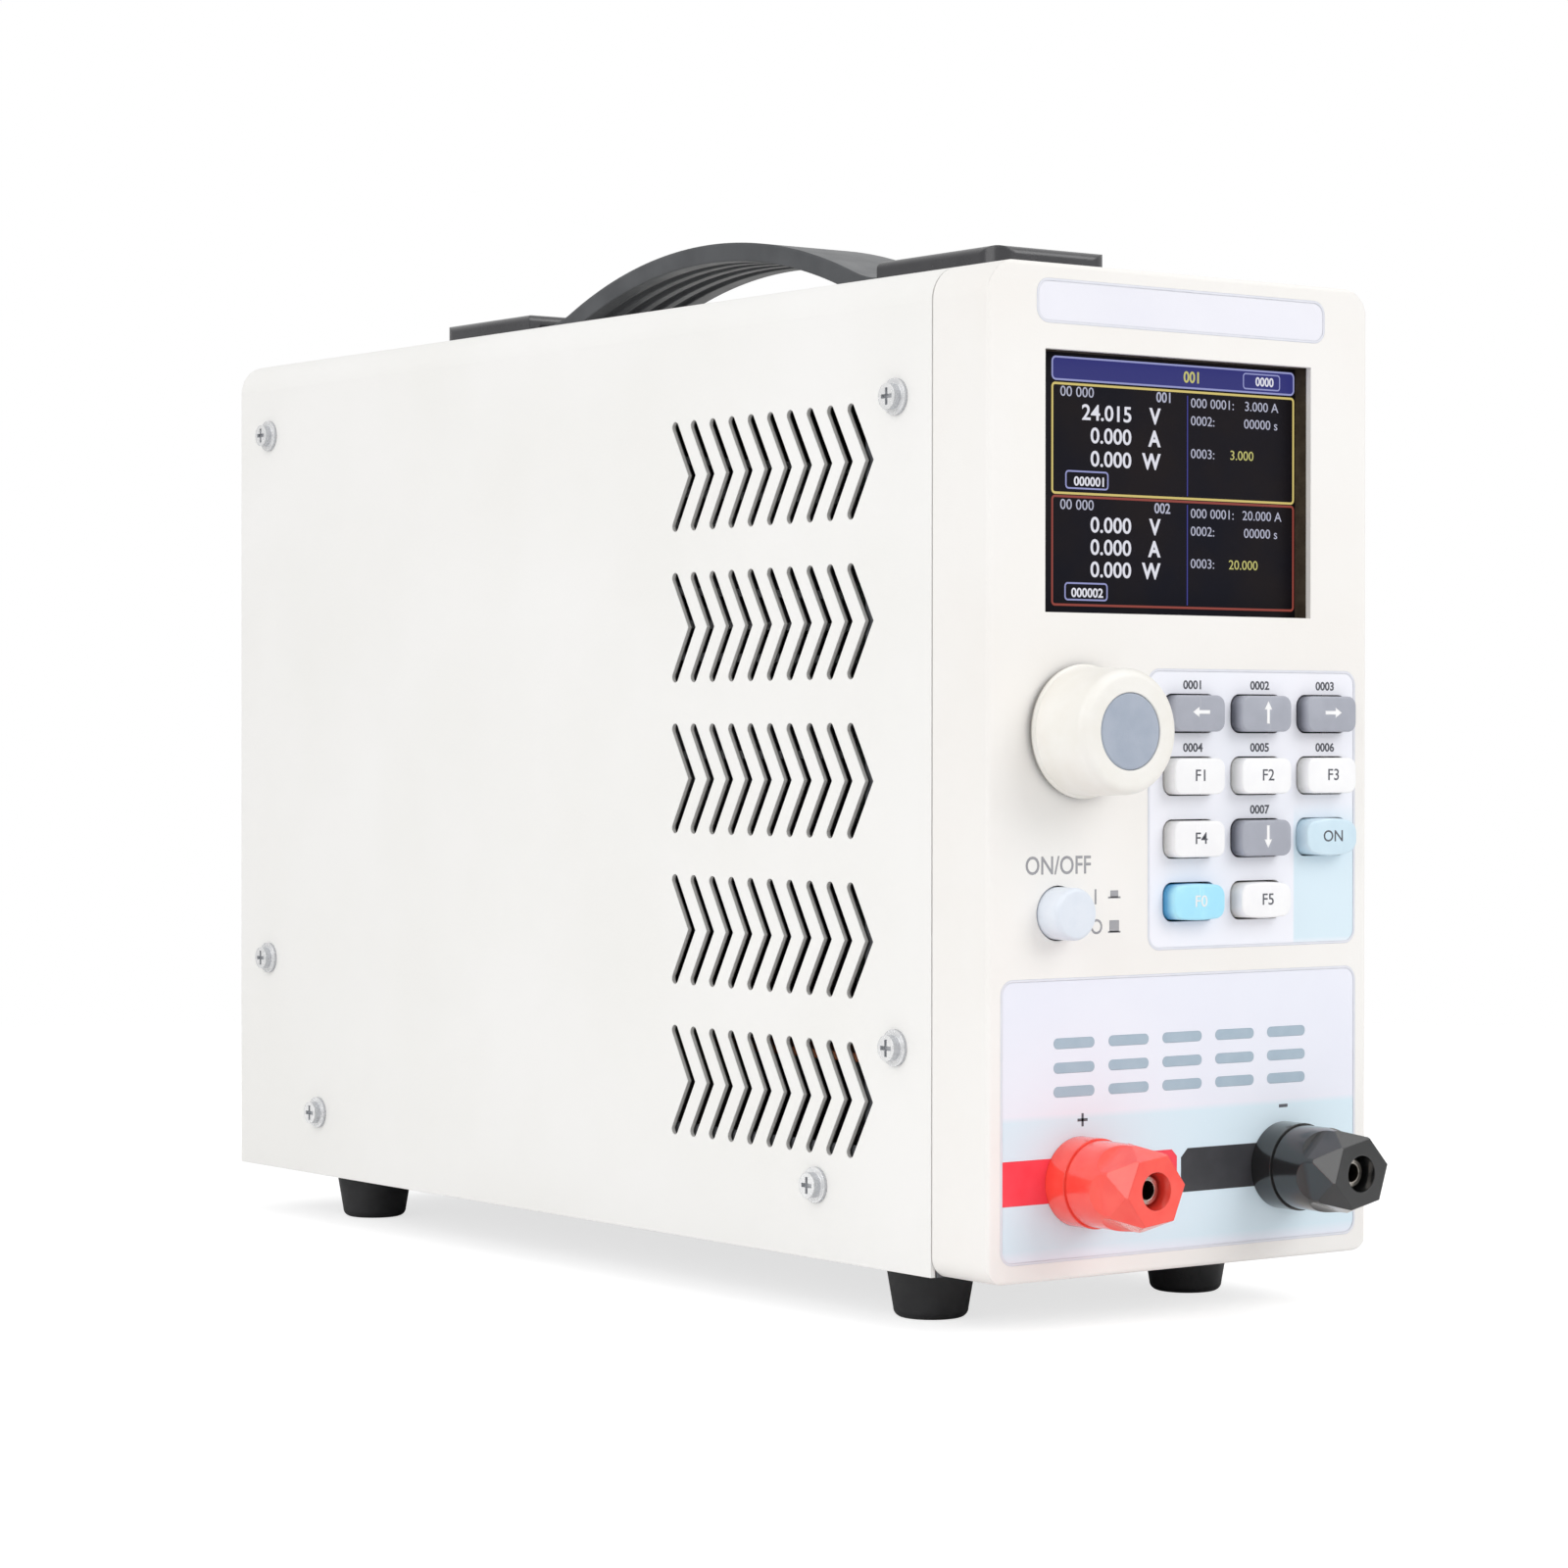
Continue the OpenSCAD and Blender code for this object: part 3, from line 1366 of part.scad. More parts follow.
module transistors() {
    first_y = sink_y + (sink_len - (fets - 1) * fet_pitch) / 2;
    color(dark_c) placed() for (i = [0 : fets - 1])
        translate([fet_x, first_y + i * fet_pitch, fan_z])
            block([0, fet_t], [-fet_w / 2, fet_w / 2], [-fet_h / 2, fet_h / 2]);
}

module power_board() {
    color(board_c) placed() block(
        [power_board_x, power_board_x + board_t],
        [sink_y - fet_pitch, sink_y + sink_len],
        [power_board_low_z, sink_top_z]
    );
}

module transformer() {
    core_x = sink_x - core_w - coil_out;
    color([0.35, 0.33, 0.32]) placed() translate([core_x, case_d - core_inset, sheet_t]) {
        block([0, core_w], [-core_d / 2, core_d / 2], [0, core_h]);
        block(
            [core_w / 5, core_w * 4 / 5],
            [-core_d / 2 - coil_out, core_d / 2 + coil_out],
            [coil_out / 2, core_h - coil_out / 2]
        );
    }
}

// The fan's motor plate and rotor, as depths in front of the rear panel
rotor_y = -motor_t - slide_gap - tip_gap;
rotor_len = fan_t - motor_t - slide_gap - 2 * tip_gap;
axle_len = rotor_len + motor_t / 2;

module fan_frame() {
    duct_d = fan_w - 2 * fan_wall;
    color(dark_c) placed() at_fan() {
        difference() {
            union() {
                along_y(-fan_t, fan_t) difference() {
                    round_rect(fan_w, fan_w, fan_wall * 2);
                    circle(d = duct_d, $fn = 128);
                }
                intersection() {
                    rod(duct_d + fan_wall, -motor_t, motor_t);
                    for (a = [45, 135])
                        rotate([0, a, 0])
                            block([-fan_w, fan_w], [-motor_t, 0], [-strut_w / 2, strut_w / 2]);
                }
                rod(hub_d, -motor_t, motor_t);
                rod(sleeve_d, -motor_t - rotor_len / 2, rotor_len / 2 + seat_gap);
            }
            rod(axle_d + 2 * run_gap, -fan_t, fan_t - motor_t / 2 + slide_gap);
            for (sx = [-1, 1], sz = [-1, 1])
                translate([sx * fan_pitch / 2, 0, sz * fan_pitch / 2])
                    rod(m4_d + 2 * run_gap, -fan_t - over, fan_t + 2 * over);
        }
    }
}

module fan_rotor() {
    tip_d = fan_w - 2 * fan_wall - 2 * tip_gap;
    hub_r = hub_d / 2;
    color([0.13, 0.13, 0.14]) placed() at_fan() {
        difference() {
            rod(hub_d, rotor_y - rotor_len + tip_gap, rotor_len);
            rod(hub_d - 2 * hub_wall, rotor_y - rotor_len + tip_gap + hub_wall, rotor_len);
        }
        rod(axle_d, rotor_y - rotor_len + tip_gap, axle_len);
        intersection() {
            difference() {
                rod(tip_d, -fan_t, fan_t - motor_t - slide_gap);
                rod(hub_d - hub_wall, -fan_t - over, fan_t + over);
            }
            for (i = [0 : blades - 1])
                rotate([0, i * 360 / blades, 0]) translate([0, rotor_y + tip_gap - rotor_len / 2, 0])
                    rotate([blade_pitch, 0, 0])
                        block(
                            [hub_r - hub_wall, fan_w / 2],
                            [-blade_w / 2, blade_w / 2],
                            [-blade_t / 2, blade_t / 2]
                        );
        }
    }
}

module fan_guard() {
    color(steel_c) placed() at_fan() along_y(sheet_t, wire_w) {
        for (i = [1 : guard_rings])
            difference() {
                circle(r = i * guard_pitch + wire_w / 2, $fn = 96);
                circle(r = i * guard_pitch - wire_w / 2, $fn = 96);
            }
        difference() {
            union() {
                for (a = [45, 135])
                    rotate(a) square([fan_pitch * sqrt(2), wire_w], center = true);
                for (sx = [-1, 1], sz = [-1, 1])
                    translate([sx * fan_pitch / 2, sz * fan_pitch / 2]) circle(d = eye_d);
            }
            circle(r = guard_pitch);
            for (sx = [-1, 1], sz = [-1, 1])
                translate([sx * fan_pitch / 2, sz * fan_pitch / 2]) circle(d = m4_d + 2 * screw_gap);
        }
    }
}

// Outline of the socket, with its two upper corners cut off
module socket_outline() {
    cut = socket_h / 4;
    polygon([
        [-socket_w / 2, -socket_h / 2],
        [socket_w / 2, -socket_h / 2],
        [socket_w / 2, socket_h / 2 - cut],
        [socket_w / 2 - cut, socket_h / 2],
        [-socket_w / 2 + cut, socket_h / 2],
        [-socket_w / 2, socket_h / 2 - cut]
    ]);
}

module contact_outline(gap) {
    for (p = CONTACTS)
        translate(p) square([contact_t + 2 * gap, contact_w + 2 * gap], center = true);
}

module mains_inlet() {
    flange_z = inlet_low_z + inlet_h / 2;
    color(dark_c) placed() difference() {
        union() {
            translate([inlet_x, 0, flange_z]) along_y(panel_out_y, inlet_flange_t)
                round_rect(inlet_flange_w, inlet_flange_h, inlet_wall);
            block(
                [inlet_x - inlet_body_w / 2, inlet_x + inlet_body_w / 2],
                [inlet_back_y, panel_out_y + inlet_flange_t / 2],
                [inlet_low_z, inlet_low_z + inlet_h]
            );
        }
        translate([inlet_x, 0, inlet_z]) {
            along_y(inlet_face_y - socket_len, socket_len + over) socket_outline();
            along_y(inlet_back_y - over, inlet_face_y - inlet_back_y) contact_outline(run_gap);
        }
        translate([inlet_x, 0, drawer_z])
            along_y(inlet_face_y - drawer_len - slide_gap, drawer_len + slide_gap + over)
                square([socket_w, drawer_h], center = true);
        at_inlet_screws() rod(m3_d + 2 * screw_gap, panel_out_y - over, inlet_flange_t + 2 * over);
    }
}

module inlet_blades() {
    front_y = inlet_face_y - contact_setback;
    color(steel_c) placed() translate([inlet_x, 0, inlet_z])
        along_y(inlet_back_y - contact_tail, front_y - inlet_back_y + contact_tail) contact_outline(0);
}

module fuse_drawer() {
    body_w = socket_w - 2 * slide_gap;
    body_h = drawer_h - 2 * slide_gap;
    color([0.1, 0.1, 0.11]) placed() translate([inlet_x, inlet_face_y, drawer_z]) {
        difference() {
            block([-body_w / 2, body_w / 2], [-drawer_len, slide_gap], [-body_h / 2, body_h / 2]);
            block(
                [-body_w / 2 + inlet_wall, body_w / 2 - inlet_wall],
                [-drawer_len + inlet_wall, -inlet_wall],
                [-body_h / 2 + inlet_wall, body_h]
            );
        }
        along_y(slide_gap, drawer_front_t) square([socket_w, drawer_h], center = true);
    }
}

// The D-shaped outline of the port
module port_outline(gap) {
    lean = port_h / 6;
    polygon([
        [-port_w / 2 - gap, port_h / 2 + gap],
        [port_w / 2 + gap, port_h / 2 + gap],
        [port_w / 2 - lean + gap, -port_h / 2 - gap],
        [-port_w / 2 + lean - gap, -port_h / 2 - gap]
    ]);
}

module serial_port() {
    rim = m3_d;
    color(steel_c) placed() translate([port_x, 0, port_z]) {
        along_y(panel_in_y - sheet_t, sheet_t)
            square([port_pitch + 2 * rim, port_h + rim], center = true);
        along_y(panel_in_y - port_h, port_h) square([port_w + sheet_t, port_h + sheet_t], center = true);
        along_y(panel_in_y - sheet_t, sheet_t + sheet_t + port_reach) port_outline(0);
        for (s = [-1, 1])
            translate([s * port_pitch / 2, 0, 0]) {
                rod(m3_d, panel_in_y - sheet_t, 2 * sheet_t + jack_len / 2);
                translate([0, panel_out_y + jack_len, 0]) rotate([90, 0, 0])
                    cylinder(d = jack_w / cos(30), h = jack_len, $fn = 6);
            }
    }
}

chassis_tray();
front_frame();
rear_panel();
top_cover();
front_bezel();
cover_screws();
small_screws();
large_screws();
foot_front_left();
foot_front_right();
foot_rear_left();
foot_rear_right();
handle_strap();
handle_cap_front();
handle_cap_rear();
display_gasket();
display_module();
front_board();
keypad_overlay();
input_overlay();
title_overlay();
key_left();
key_up();
key_right();
key_f1();
key_f2();
key_f3();
key_f4();
key_down();
key_on();
key_blue();
key_f5();
key_switches();
encoder_body();
encoder_shaft();
knob();
knob_insert();
power_button();
power_switch();
red_post_base();
red_post_stud();
red_post_cap();
red_post_washer();
black_post_base();
black_post_stud();
black_post_cap();
black_post_washer();
post_hardware();
copper_bars();
heat_sink();
transistors();
power_board();
transformer();
fan_frame();
fan_rotor();
fan_guard();
mains_inlet();
inlet_blades();
fuse_drawer();
serial_port();
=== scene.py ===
"""Looks of the bench dc electronic load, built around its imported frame.

Sizes are millimetres in the case frame: x across, y back from the front face, z up from the case floor.
Every finished mesh is moved to metres in the part's own frame.
"""

import logging
import math
from dataclasses import dataclass, field
from enum import Enum
from typing import ClassVar, Iterable, Sequence, Union

import bmesh
import bpy
from mathutils import Matrix, Vector


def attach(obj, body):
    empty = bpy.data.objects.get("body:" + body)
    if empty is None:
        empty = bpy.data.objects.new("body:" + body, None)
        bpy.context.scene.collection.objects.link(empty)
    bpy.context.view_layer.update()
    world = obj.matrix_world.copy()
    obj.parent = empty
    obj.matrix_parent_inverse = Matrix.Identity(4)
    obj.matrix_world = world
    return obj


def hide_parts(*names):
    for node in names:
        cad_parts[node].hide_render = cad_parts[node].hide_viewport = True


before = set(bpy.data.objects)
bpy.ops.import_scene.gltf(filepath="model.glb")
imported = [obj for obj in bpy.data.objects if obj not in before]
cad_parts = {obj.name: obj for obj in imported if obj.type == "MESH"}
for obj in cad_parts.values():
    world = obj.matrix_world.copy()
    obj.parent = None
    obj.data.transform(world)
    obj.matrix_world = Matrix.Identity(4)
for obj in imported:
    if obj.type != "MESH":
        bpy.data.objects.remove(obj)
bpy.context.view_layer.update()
LOG = logging.getLogger("dc_load")

Triple = tuple[float, float, float]
Colour = Triple
Pair = tuple[float, float]

MM = 0.001
ORIGIN_DEPTH = 149.45
FOOT_HEIGHT = 12.0
TO_PART = Matrix.Translation((0.0, -ORIGIN_DEPTH * MM, FOOT_HEIGHT * MM)) @ Matrix.Scale(MM, 4)
UPRIGHT = Matrix.Rotation(math.radians(90), 4, "X")
CASE = "case"
WHITE = (1.0, 1.0, 1.0, 1.0)
PRINT = 0.03


def linear(colour: Colour) -> tuple[float, float, float, float]:
    """Turns a display colour into the shader's linear colour, by the sRGB curve.

    Args:
        colour: Red, green and blue from 0 to 255.

    Returns:
        Linear red, green and blue, and an alpha of 1.
    """
    parts = []
    for value in colour:
        unit = value / 255.0
        parts.append(unit / 12.92 if unit <= 0.04045 else ((unit + 0.055) / 1.055) ** 2.4)
    return (parts[0], parts[1], parts[2], 1.0)


class Sock:
    """A shader socket whose operators add Math nodes."""

    def __init__(self, tree: "ShaderTree", socket: bpy.types.NodeSocket) -> None:
        """Keeps an output socket and its tree."""
        self.tree = tree
        self.socket = socket

    def _math(self, operation: str, first: "Value", second: "Value", clamp: bool = False) -> "Sock":
        """Adds one Math node.

        Args:
            operation: The node's operation.
            first: The first value.
            second: The second value.
            clamp: Whether the result is held between 0 and 1.

        Returns:
            The node's result.
        """
        settings = {"operation": operation, "use_clamp": clamp}
        return self.tree.node("ShaderNodeMath", settings, {0: first, 1: second})

    def __add__(self, other: "Value") -> "Sock":
        """Adds."""
        return self._math("ADD", self, other)

    def __mul__(self, other: "Value") -> "Sock":
        """Multiplies."""
        return self._math("MULTIPLY", self, other)

    def __sub__(self, other: "Value") -> "Sock":
        """Subtracts the other value."""
        return self._math("SUBTRACT", self, other)

    def __truediv__(self, other: "Value") -> "Sock":
        """Divides by the other value."""
        return self._math("DIVIDE", self, other)

    def clamped(self) -> "Sock":
        """Holds the value between 0 and 1."""
        return self._math("ADD", self, 0.0, True)

    def larger(self, other: "Value") -> "Sock":
        """Takes the larger of two values."""
        return self._math("MAXIMUM", self, other)

    def wave(self) -> "Sock":
        """Takes the sine of the value."""
        return self._math("SINE", self, 0.0)

    def ramp(self, low: float, high: float) -> "Sock":
        """Is 0 at low and 1 at high, which may lie below low."""
        return ((self - low) / (high - low)).clamped()


Value = Union[Sock, float, tuple]


class Axis(Enum):
    """Ways along which a colour can set in; OUT is the distance from the middle plane."""

    ACROSS = 0
    BACK = 1
    UP = 2
    OUT = 3


class ShaderTree:
    """The node tree of one material or world."""

    def __init__(self, owner: Union[bpy.types.Material, bpy.types.World]) -> None:
        """Empties the owner's tree.

        Args:
            owner: The material or world.
        """
        owner.use_nodes = True
        self.tree = owner.node_tree
        self.tree.nodes.clear()

    def node(self, kind: str, settings: dict | None = None, inputs: dict | None = None,
             output: Union[int, str] = 0) -> Sock:
        """Adds a node.

        Args:
            kind: The node's type.
            settings: Its properties.
            inputs: Values or sockets by the input's name or place.
            output: The output that is wanted.

        Returns:
            That output.
        """
        made = self.tree.nodes.new(kind)
        for key, value in (settings or {}).items():
            setattr(made, key, value)
        for key, value in (inputs or {}).items():
            if isinstance(value, Sock):
                self.tree.links.new(value.socket, made.inputs[key])
            else:
                made.inputs[key].default_value = value
        return Sock(self, made.outputs[output]) if made.outputs else Sock(self, None)

    def coords(self) -> Sock:
        """Gives the object coordinates, in metres."""
        return self.node("ShaderNodeTexCoord", output="Object")

    def noise(self, size_mm: float, detail: float = 2.0) -> Sock:
        """Adds noise about 0.5 whose patches have a real size."""
        inputs = {"Vector": self.coords(), "Scale": 1.0 / (size_mm * MM), "Detail": detail}
        return self.node("ShaderNodeTexNoise", None, inputs)

    def mix(self, factor: Value, first: Value, second: Value) -> Sock:
        """Mixes two colours; factor is the share of the second."""
        settings = {"data_type": "RGBA", "clamp_factor": True}
        return self.node("ShaderNodeMix", settings, {0: factor, 6: first, 7: second}, 2)

    def position(self) -> dict[Axis, Sock]:
        """Gives the place along each axis, in millimetres of the case frame."""
        where = self.coords()
        x, y, z = (self.node("ShaderNodeSeparateXYZ", None, {0: where}, i) / MM for i in range(3))
        away = x.larger(x * -1.0)
        return {Axis.ACROSS: x, Axis.BACK: y + ORIGIN_DEPTH, Axis.UP: z - FOOT_HEIGHT, Axis.OUT: away}


@dataclass(frozen=True)
class Layer:
    """A colour that sets in over part of a surface: a print, or painted shade.

    Attributes:
        colour: The colour, 0 to 255.
        spans: Axes, each with where the colour is absent and where it is full; all of them have to hold.
    """

    colour: Colour
    spans: tuple[tuple[Axis, float, float], ...]


@dataclass(frozen=True)
class Finish:
    """A surface: a colour that drifts a little, a grain and a sheen.

    Attributes:
        name: The material's name.
        slot: The record's slot; not used.
        colour: The main colour, 0 to 255.
        drift: The colour that patches drift to.
        patch: Size of the patches in millimetres.
        rough: Roughness.
        rough_drift: How far the roughness varies.
        grain: Size of the grain in millimetres.
        depth: Strength of the grain.
        metal: Metallic value.
        coat: Clear coat.
        gloss: Specular level.
        edge: Radius of the soft edges in millimetres.
        layers: Colours over the main one: prints, or painted shade.
    """

    PATCH_RAMP: ClassVar[Pair] = (0.35, 0.65)
    PATCH_DETAIL: ClassVar[float] = 3.0
    SHEEN_SIZE: ClassVar[float] = 0.4
    RELIEF: ClassVar[float] = 0.0004
    COAT_ROUGH: ClassVar[float] = 0.15
    EDGE_SAMPLES: ClassVar[int] = 6

    name: str
    slot: str
    colour: Colour
    drift: Colour
    patch: float = 25.0
    rough: float = 0.45
    rough_drift: float = 0.12
    grain: float = 0.35
    depth: float = 0.08
    metal: float = 0.0
    coat: float = 0.0
    gloss: float = 0.5
    edge: float = 0.25
    layers: tuple[Layer, ...] = ()

    def tint(self, tree: ShaderTree) -> Sock:
        """Gives the colour over the surface.

        Args:
            tree: The material's tree.

        Returns:
            The colour.
        """
        patches = tree.noise(self.patch, self.PATCH_DETAIL).ramp(*self.PATCH_RAMP)
        shade = tree.mix(patches, linear(self.colour), linear(self.drift))
        place = tree.position() if self.layers else {}
        for layer in self.layers:
            amount = 1.0
            for axis, low, high in layer.spans:
                amount = place[axis].ramp(low, high) * amount
            shade = tree.mix(amount, shade, linear(layer.colour))
        return shade

    def material(self) -> bpy.types.Material:
        """Makes the material once and gives it back."""
        label = "look_" + self.name
        known = bpy.data.materials.get(label)
        if known:
            return known
        made = bpy.data.materials.new(label)
        tree = ShaderTree(made)
        grain = tree.noise(self.grain)
        soft = tree.node("ShaderNodeBevel", {"samples": self.EDGE_SAMPLES}, {"Radius": self.edge * MM})
        relief = {"Strength": self.depth, "Distance": self.RELIEF, "Height": grain, "Normal": soft}
        bump = tree.node("ShaderNodeBump", None, relief)
        sheen = tree.noise(self.patch * self.SHEEN_SIZE, self.PATCH_DETAIL)
        inputs = {
            "Base Color": self.tint(tree),
            "Roughness": ((sheen - 0.5) * self.rough_drift + self.rough).clamped(),
            "Metallic": self.metal,
            "Coat Weight": self.coat,
            "Coat Roughness": self.COAT_ROUGH,
            "Specular IOR Level": self.gloss,
            "Normal": bump,
        }
        shader = tree.node("ShaderNodeBsdfPrincipled", None, inputs)
        tree.node("ShaderNodeOutputMaterial", None, {0: shader})
        return made


@dataclass(frozen=True)
class Glow:
    """A lit colour on the display, broken up by the display's pixels.

    Attributes:
        name: The material's name.
        colour: The lit colour, 0 to 255.
        level: Strength of the light.
        pitch: Size of a pixel in millimetres.
        ripple: How far the light varies over a pixel.
        mean: Share of the light that is left on average.
        slot: The record's slot; not used.
    """

    GLASS: ClassVar[tuple] = (0.01, 0.01, 0.015, 1.0)
    ROUGH: ClassVar[float] = 0.4
    GLOSS: ClassVar[float] = 0.1

    name: str
    colour: Colour
    level: float = 0.9
    pitch: float = 0.22
    ripple: float = 0.03
    mean: float = 0.94
    slot: str = "lcd_glass"

    def material(self) -> bpy.types.Material:
        """Makes the material once and gives it back."""
        label = "look_" + self.name
        known = bpy.data.materials.get(label)
        if known:
            return known
        made = bpy.data.materials.new(label)
        tree = ShaderTree(made)
        place = tree.position()
        turn = math.tau / self.pitch
        waves = (place[Axis.ACROSS] * turn).wave() + (place[Axis.UP] * turn).wave()
        pixels = waves * self.ripple + self.mean
        lit = tree.mix(pixels, linear((0, 0, 0)), linear(self.colour))
        inputs = {
            "Base Color": self.GLASS,
            "Roughness": self.ROUGH,
            "Specular IOR Level": self.GLOSS,
            "Emission Color": lit,
            "Emission Strength": self.level,
        }
        shader = tree.node("ShaderNodeBsdfPrincipled", None, inputs)
        tree.node("ShaderNodeOutputMaterial", None, {0: shader})
        return made


Surface = Union[Finish, Glow]


def shaded_foot(colour: Colour, clear: float = -3.0, full: float = -0.9) -> tuple[Layer, ...]:
    """Gives the layer of painted shade that darkens a key or knob towards its foot, where shade falls at
    its sides and in the gap around it.

    Args:
        colour: The colour of the painted shade at the foot.
        clear: Depth where it starts.
        full: Depth where it is full.

    Returns:
        The finish's layers.
    """
    return (Layer(colour, ((Axis.BACK, clear, full),)),)


FILM_BLUE = (221, 239, 249)
HEAD_SHADE = (192, 194, 198)
# Painted shade on the cover: the vents' cut edges are greyed and the inside face is dark, away from the
# front, rear and top edges.
BEHIND_EDGES = ((Axis.UP, 205.0, 204.0), (Axis.BACK, 20.0, 20.6), (Axis.BACK, 316.0, 312.0))
CUT_EDGE_SHADE = Layer((208, 207, 204), ((Axis.OUT, 54.97, 54.88), *BEHIND_EDGES))
INNER_SIDE_SHADE = Layer((60, 60, 58), ((Axis.OUT, 54.2, 53.95), *BEHIND_EDGES))
# Painted shade on the cover screws: the flange's wall and the head's wall are darker than their faces.
FLANGE_WALL_SHADE = Layer(HEAD_SHADE, ((Axis.OUT, 55.78, 55.7),))
HEAD_WALL_SHADE = Layer(HEAD_SHADE, ((Axis.OUT, 55.82, 55.95), (Axis.OUT, 57.76, 57.6)))
KEYPAD_BLUE = Layer(FILM_BLUE, ((Axis.ACROSS, 32.4, 32.9), (Axis.UP, 101.0, 93.0), (Axis.UP, 69.0, 71.0)))
INPUT_BLUE = Layer(FILM_BLUE, ((Axis.UP, 35.4, 34.0), (Axis.UP, 4.4, 7.0)))

PAINTED = dict(patch=60, rough=0.42, rough_drift=0.1, grain=0.9, depth=0.06)
TURNED = dict(patch=2, rough_drift=0.15, grain=0.2, depth=0.05)
PRESSED = dict(patch=5, rough_drift=0.1, grain=0.3, depth=0.05, edge=0.4)
POLISHED = dict(patch=5, rough=0.2, rough_drift=0.1, grain=0.35, depth=0.03, edge=0.4)
FILM = dict(patch=30, rough=0.36, rough_drift=0.08, grain=0.5, depth=0.03)
MATT_INK = dict(patch=3, rough=0.45, rough_drift=0.1, grain=0.3, depth=0.05)
FINE_INK = dict(patch=3, rough=0.4, rough_drift=0.1, grain=0.3, depth=0.03)
BROAD_INK = dict(patch=6, rough=0.36, rough_drift=0.1, grain=0.3, depth=0.03)

PAINT = Finish("case_paint", "case_paint", (246, 245, 243), (243, 242, 239), **PAINTED)
# The cover's paint, with painted shade on its vents' cut edges and inside face.
COVER = Finish("cover_paint", "case_paint", (246, 245, 243), (243, 242, 239),
               layers=(CUT_EDGE_SHADE, INNER_SIDE_SHADE), **PAINTED)
BEZEL = Finish("bezel_plastic", "bezel_plastic", (245, 243, 240), (243, 240, 236),
               patch=45, rough=0.5, rough_drift=0.1, grain=0.45, depth=0.06)
# Steel's own grey, darkened further as painted shade so that the front frame seen through the vents reads
# as the dark inside of the case.
STEEL_AND_SHADE = Finish("chassis_steel", "chassis_steel", (118, 120, 124), (102, 104, 108),
               patch=12, rough_drift=0.2, grain=0.3, depth=0.1, metal=0.9)
SCREW = Finish("screw_steel", "screw_steel", (244, 244, 244), (228, 229, 230),
               rough=0.24, metal=1.0, **TURNED)
# Screw heads with painted shade on their walls.
HEAD = Finish("screw_head", "screw_steel", (250, 250, 250), (240, 241, 242),
              rough=0.26, metal=0.4, layers=(FLANGE_WALL_SHADE, HEAD_WALL_SHADE), **TURNED)
NICKEL = Finish("plated_metal", "plated_metal", (214, 208, 200), (178, 170, 160),
                rough=0.22, metal=1.0, **TURNED)
FOOT = Finish("foot_rubber", "foot_rubber", (33, 33, 35), (41, 41, 43),
              patch=6, rough=0.55, rough_drift=0.2, grain=0.3, depth=0.15)
GASKET = Finish("gasket_foam", "foot_rubber", (76, 67, 55), (64, 55, 44),
                patch=3, rough=0.8, rough_drift=0.1, grain=0.25, depth=0.3, gloss=0.2)
STRAP = Finish("strap_rubber", "strap_rubber", (84, 86, 89), (72, 74, 77),
               patch=14, rough=0.36, rough_drift=0.2, grain=0.4, edge=0.9)
CAP = Finish("cap_plastic", "cap_plastic", (58, 58, 61), (51, 51, 54),
             patch=10, rough=0.26, coat=0.4, edge=0.8)
LCD = Finish("lcd_glass", "lcd_glass", (25, 25, 33), (33, 29, 31),
             patch=20, rough=0.3, rough_drift=0.05, grain=0.25, depth=0.02, gloss=0.06)
BOARD = Finish("board_green", "board_green", (22, 92, 52), (16, 76, 42),
               patch=5, rough=0.35, rough_drift=0.15, grain=0.6, depth=0.1, coat=0.3)
# The keys' foot layers are painted shade: their sides darken towards the film.
KEY_GREY = Finish("key_grey", "key_grey", (172, 175, 186), (166, 169, 180),
                  rough=0.4, layers=shaded_foot((96, 98, 108)), **PRESSED)
KEY_WHITE = Finish("key_white", "key_white", (251, 251, 252), (247, 247, 249),
                   rough=0.38, layers=shaded_foot((210, 210, 208)), **PRESSED)
KEY_ICE = Finish("key_ice", "key_ice", (207, 230, 243), (212, 234, 246),
                 rough=0.3, coat=0.3, layers=shaded_foot((188, 214, 229)), **PRESSED)
KEY_SKY = Finish("key_sky", "key_sky", (177, 237, 255), (168, 231, 254),
                 rough=0.35, layers=shaded_foot((84, 160, 206)), **PRESSED)
BLACK = Finish("black_plastic", "black_plastic", (36, 36, 38), (46, 46, 48),
               patch=8, rough=0.5, rough_drift=0.15, depth=0.12)
# The knob's foot layer is a painted shadow: its rear rim darkens where the gap's shade falls.
KNOB = Finish("knob_plastic", "knob_plastic", (243, 241, 236), (239, 236, 229),
              patch=9, rough=0.42, grain=0.4, depth=0.07, layers=shaded_foot((104, 100, 92), -1.7, -0.95))
DISC = Finish("knob_disc", "knob_disc", (170, 179, 194), (162, 172, 188),
              patch=5, rough_drift=0.1, depth=0.1)
BUTTON = Finish("button_plastic", "button_plastic", (228, 234, 243), (223, 230, 240),
                patch=4, rough=0.35, rough_drift=0.1, grain=0.3, depth=0.05)
RED = Finish("post_red", "post_red", (253, 84, 70), (250, 74, 62), coat=0.5, **POLISHED)
JET = Finish("post_black", "post_black", (32, 33, 34), (27, 28, 29), coat=0.6, **POLISHED)
COPPER = Finish("copper", "copper", (214, 140, 104), (190, 116, 82),
                patch=6, rough=0.3, rough_drift=0.2, grain=0.3, metal=1.0)
ALLOY = Finish("sink_alloy", "sink_alloy", (190, 192, 196), (174, 176, 181),
               patch=10, rough=0.4, rough_drift=0.15, grain=0.4, depth=0.12, metal=0.95)
CORE = Finish("core_steel", "core_steel", (96, 90, 86), (74, 69, 66),
              patch=4, rough=0.5, rough_drift=0.2, grain=0.5, depth=0.2, metal=0.6)
PLAIN_FILM = Finish("title_film", "film_print", (239, 239, 247), (236, 236, 245), **FILM)
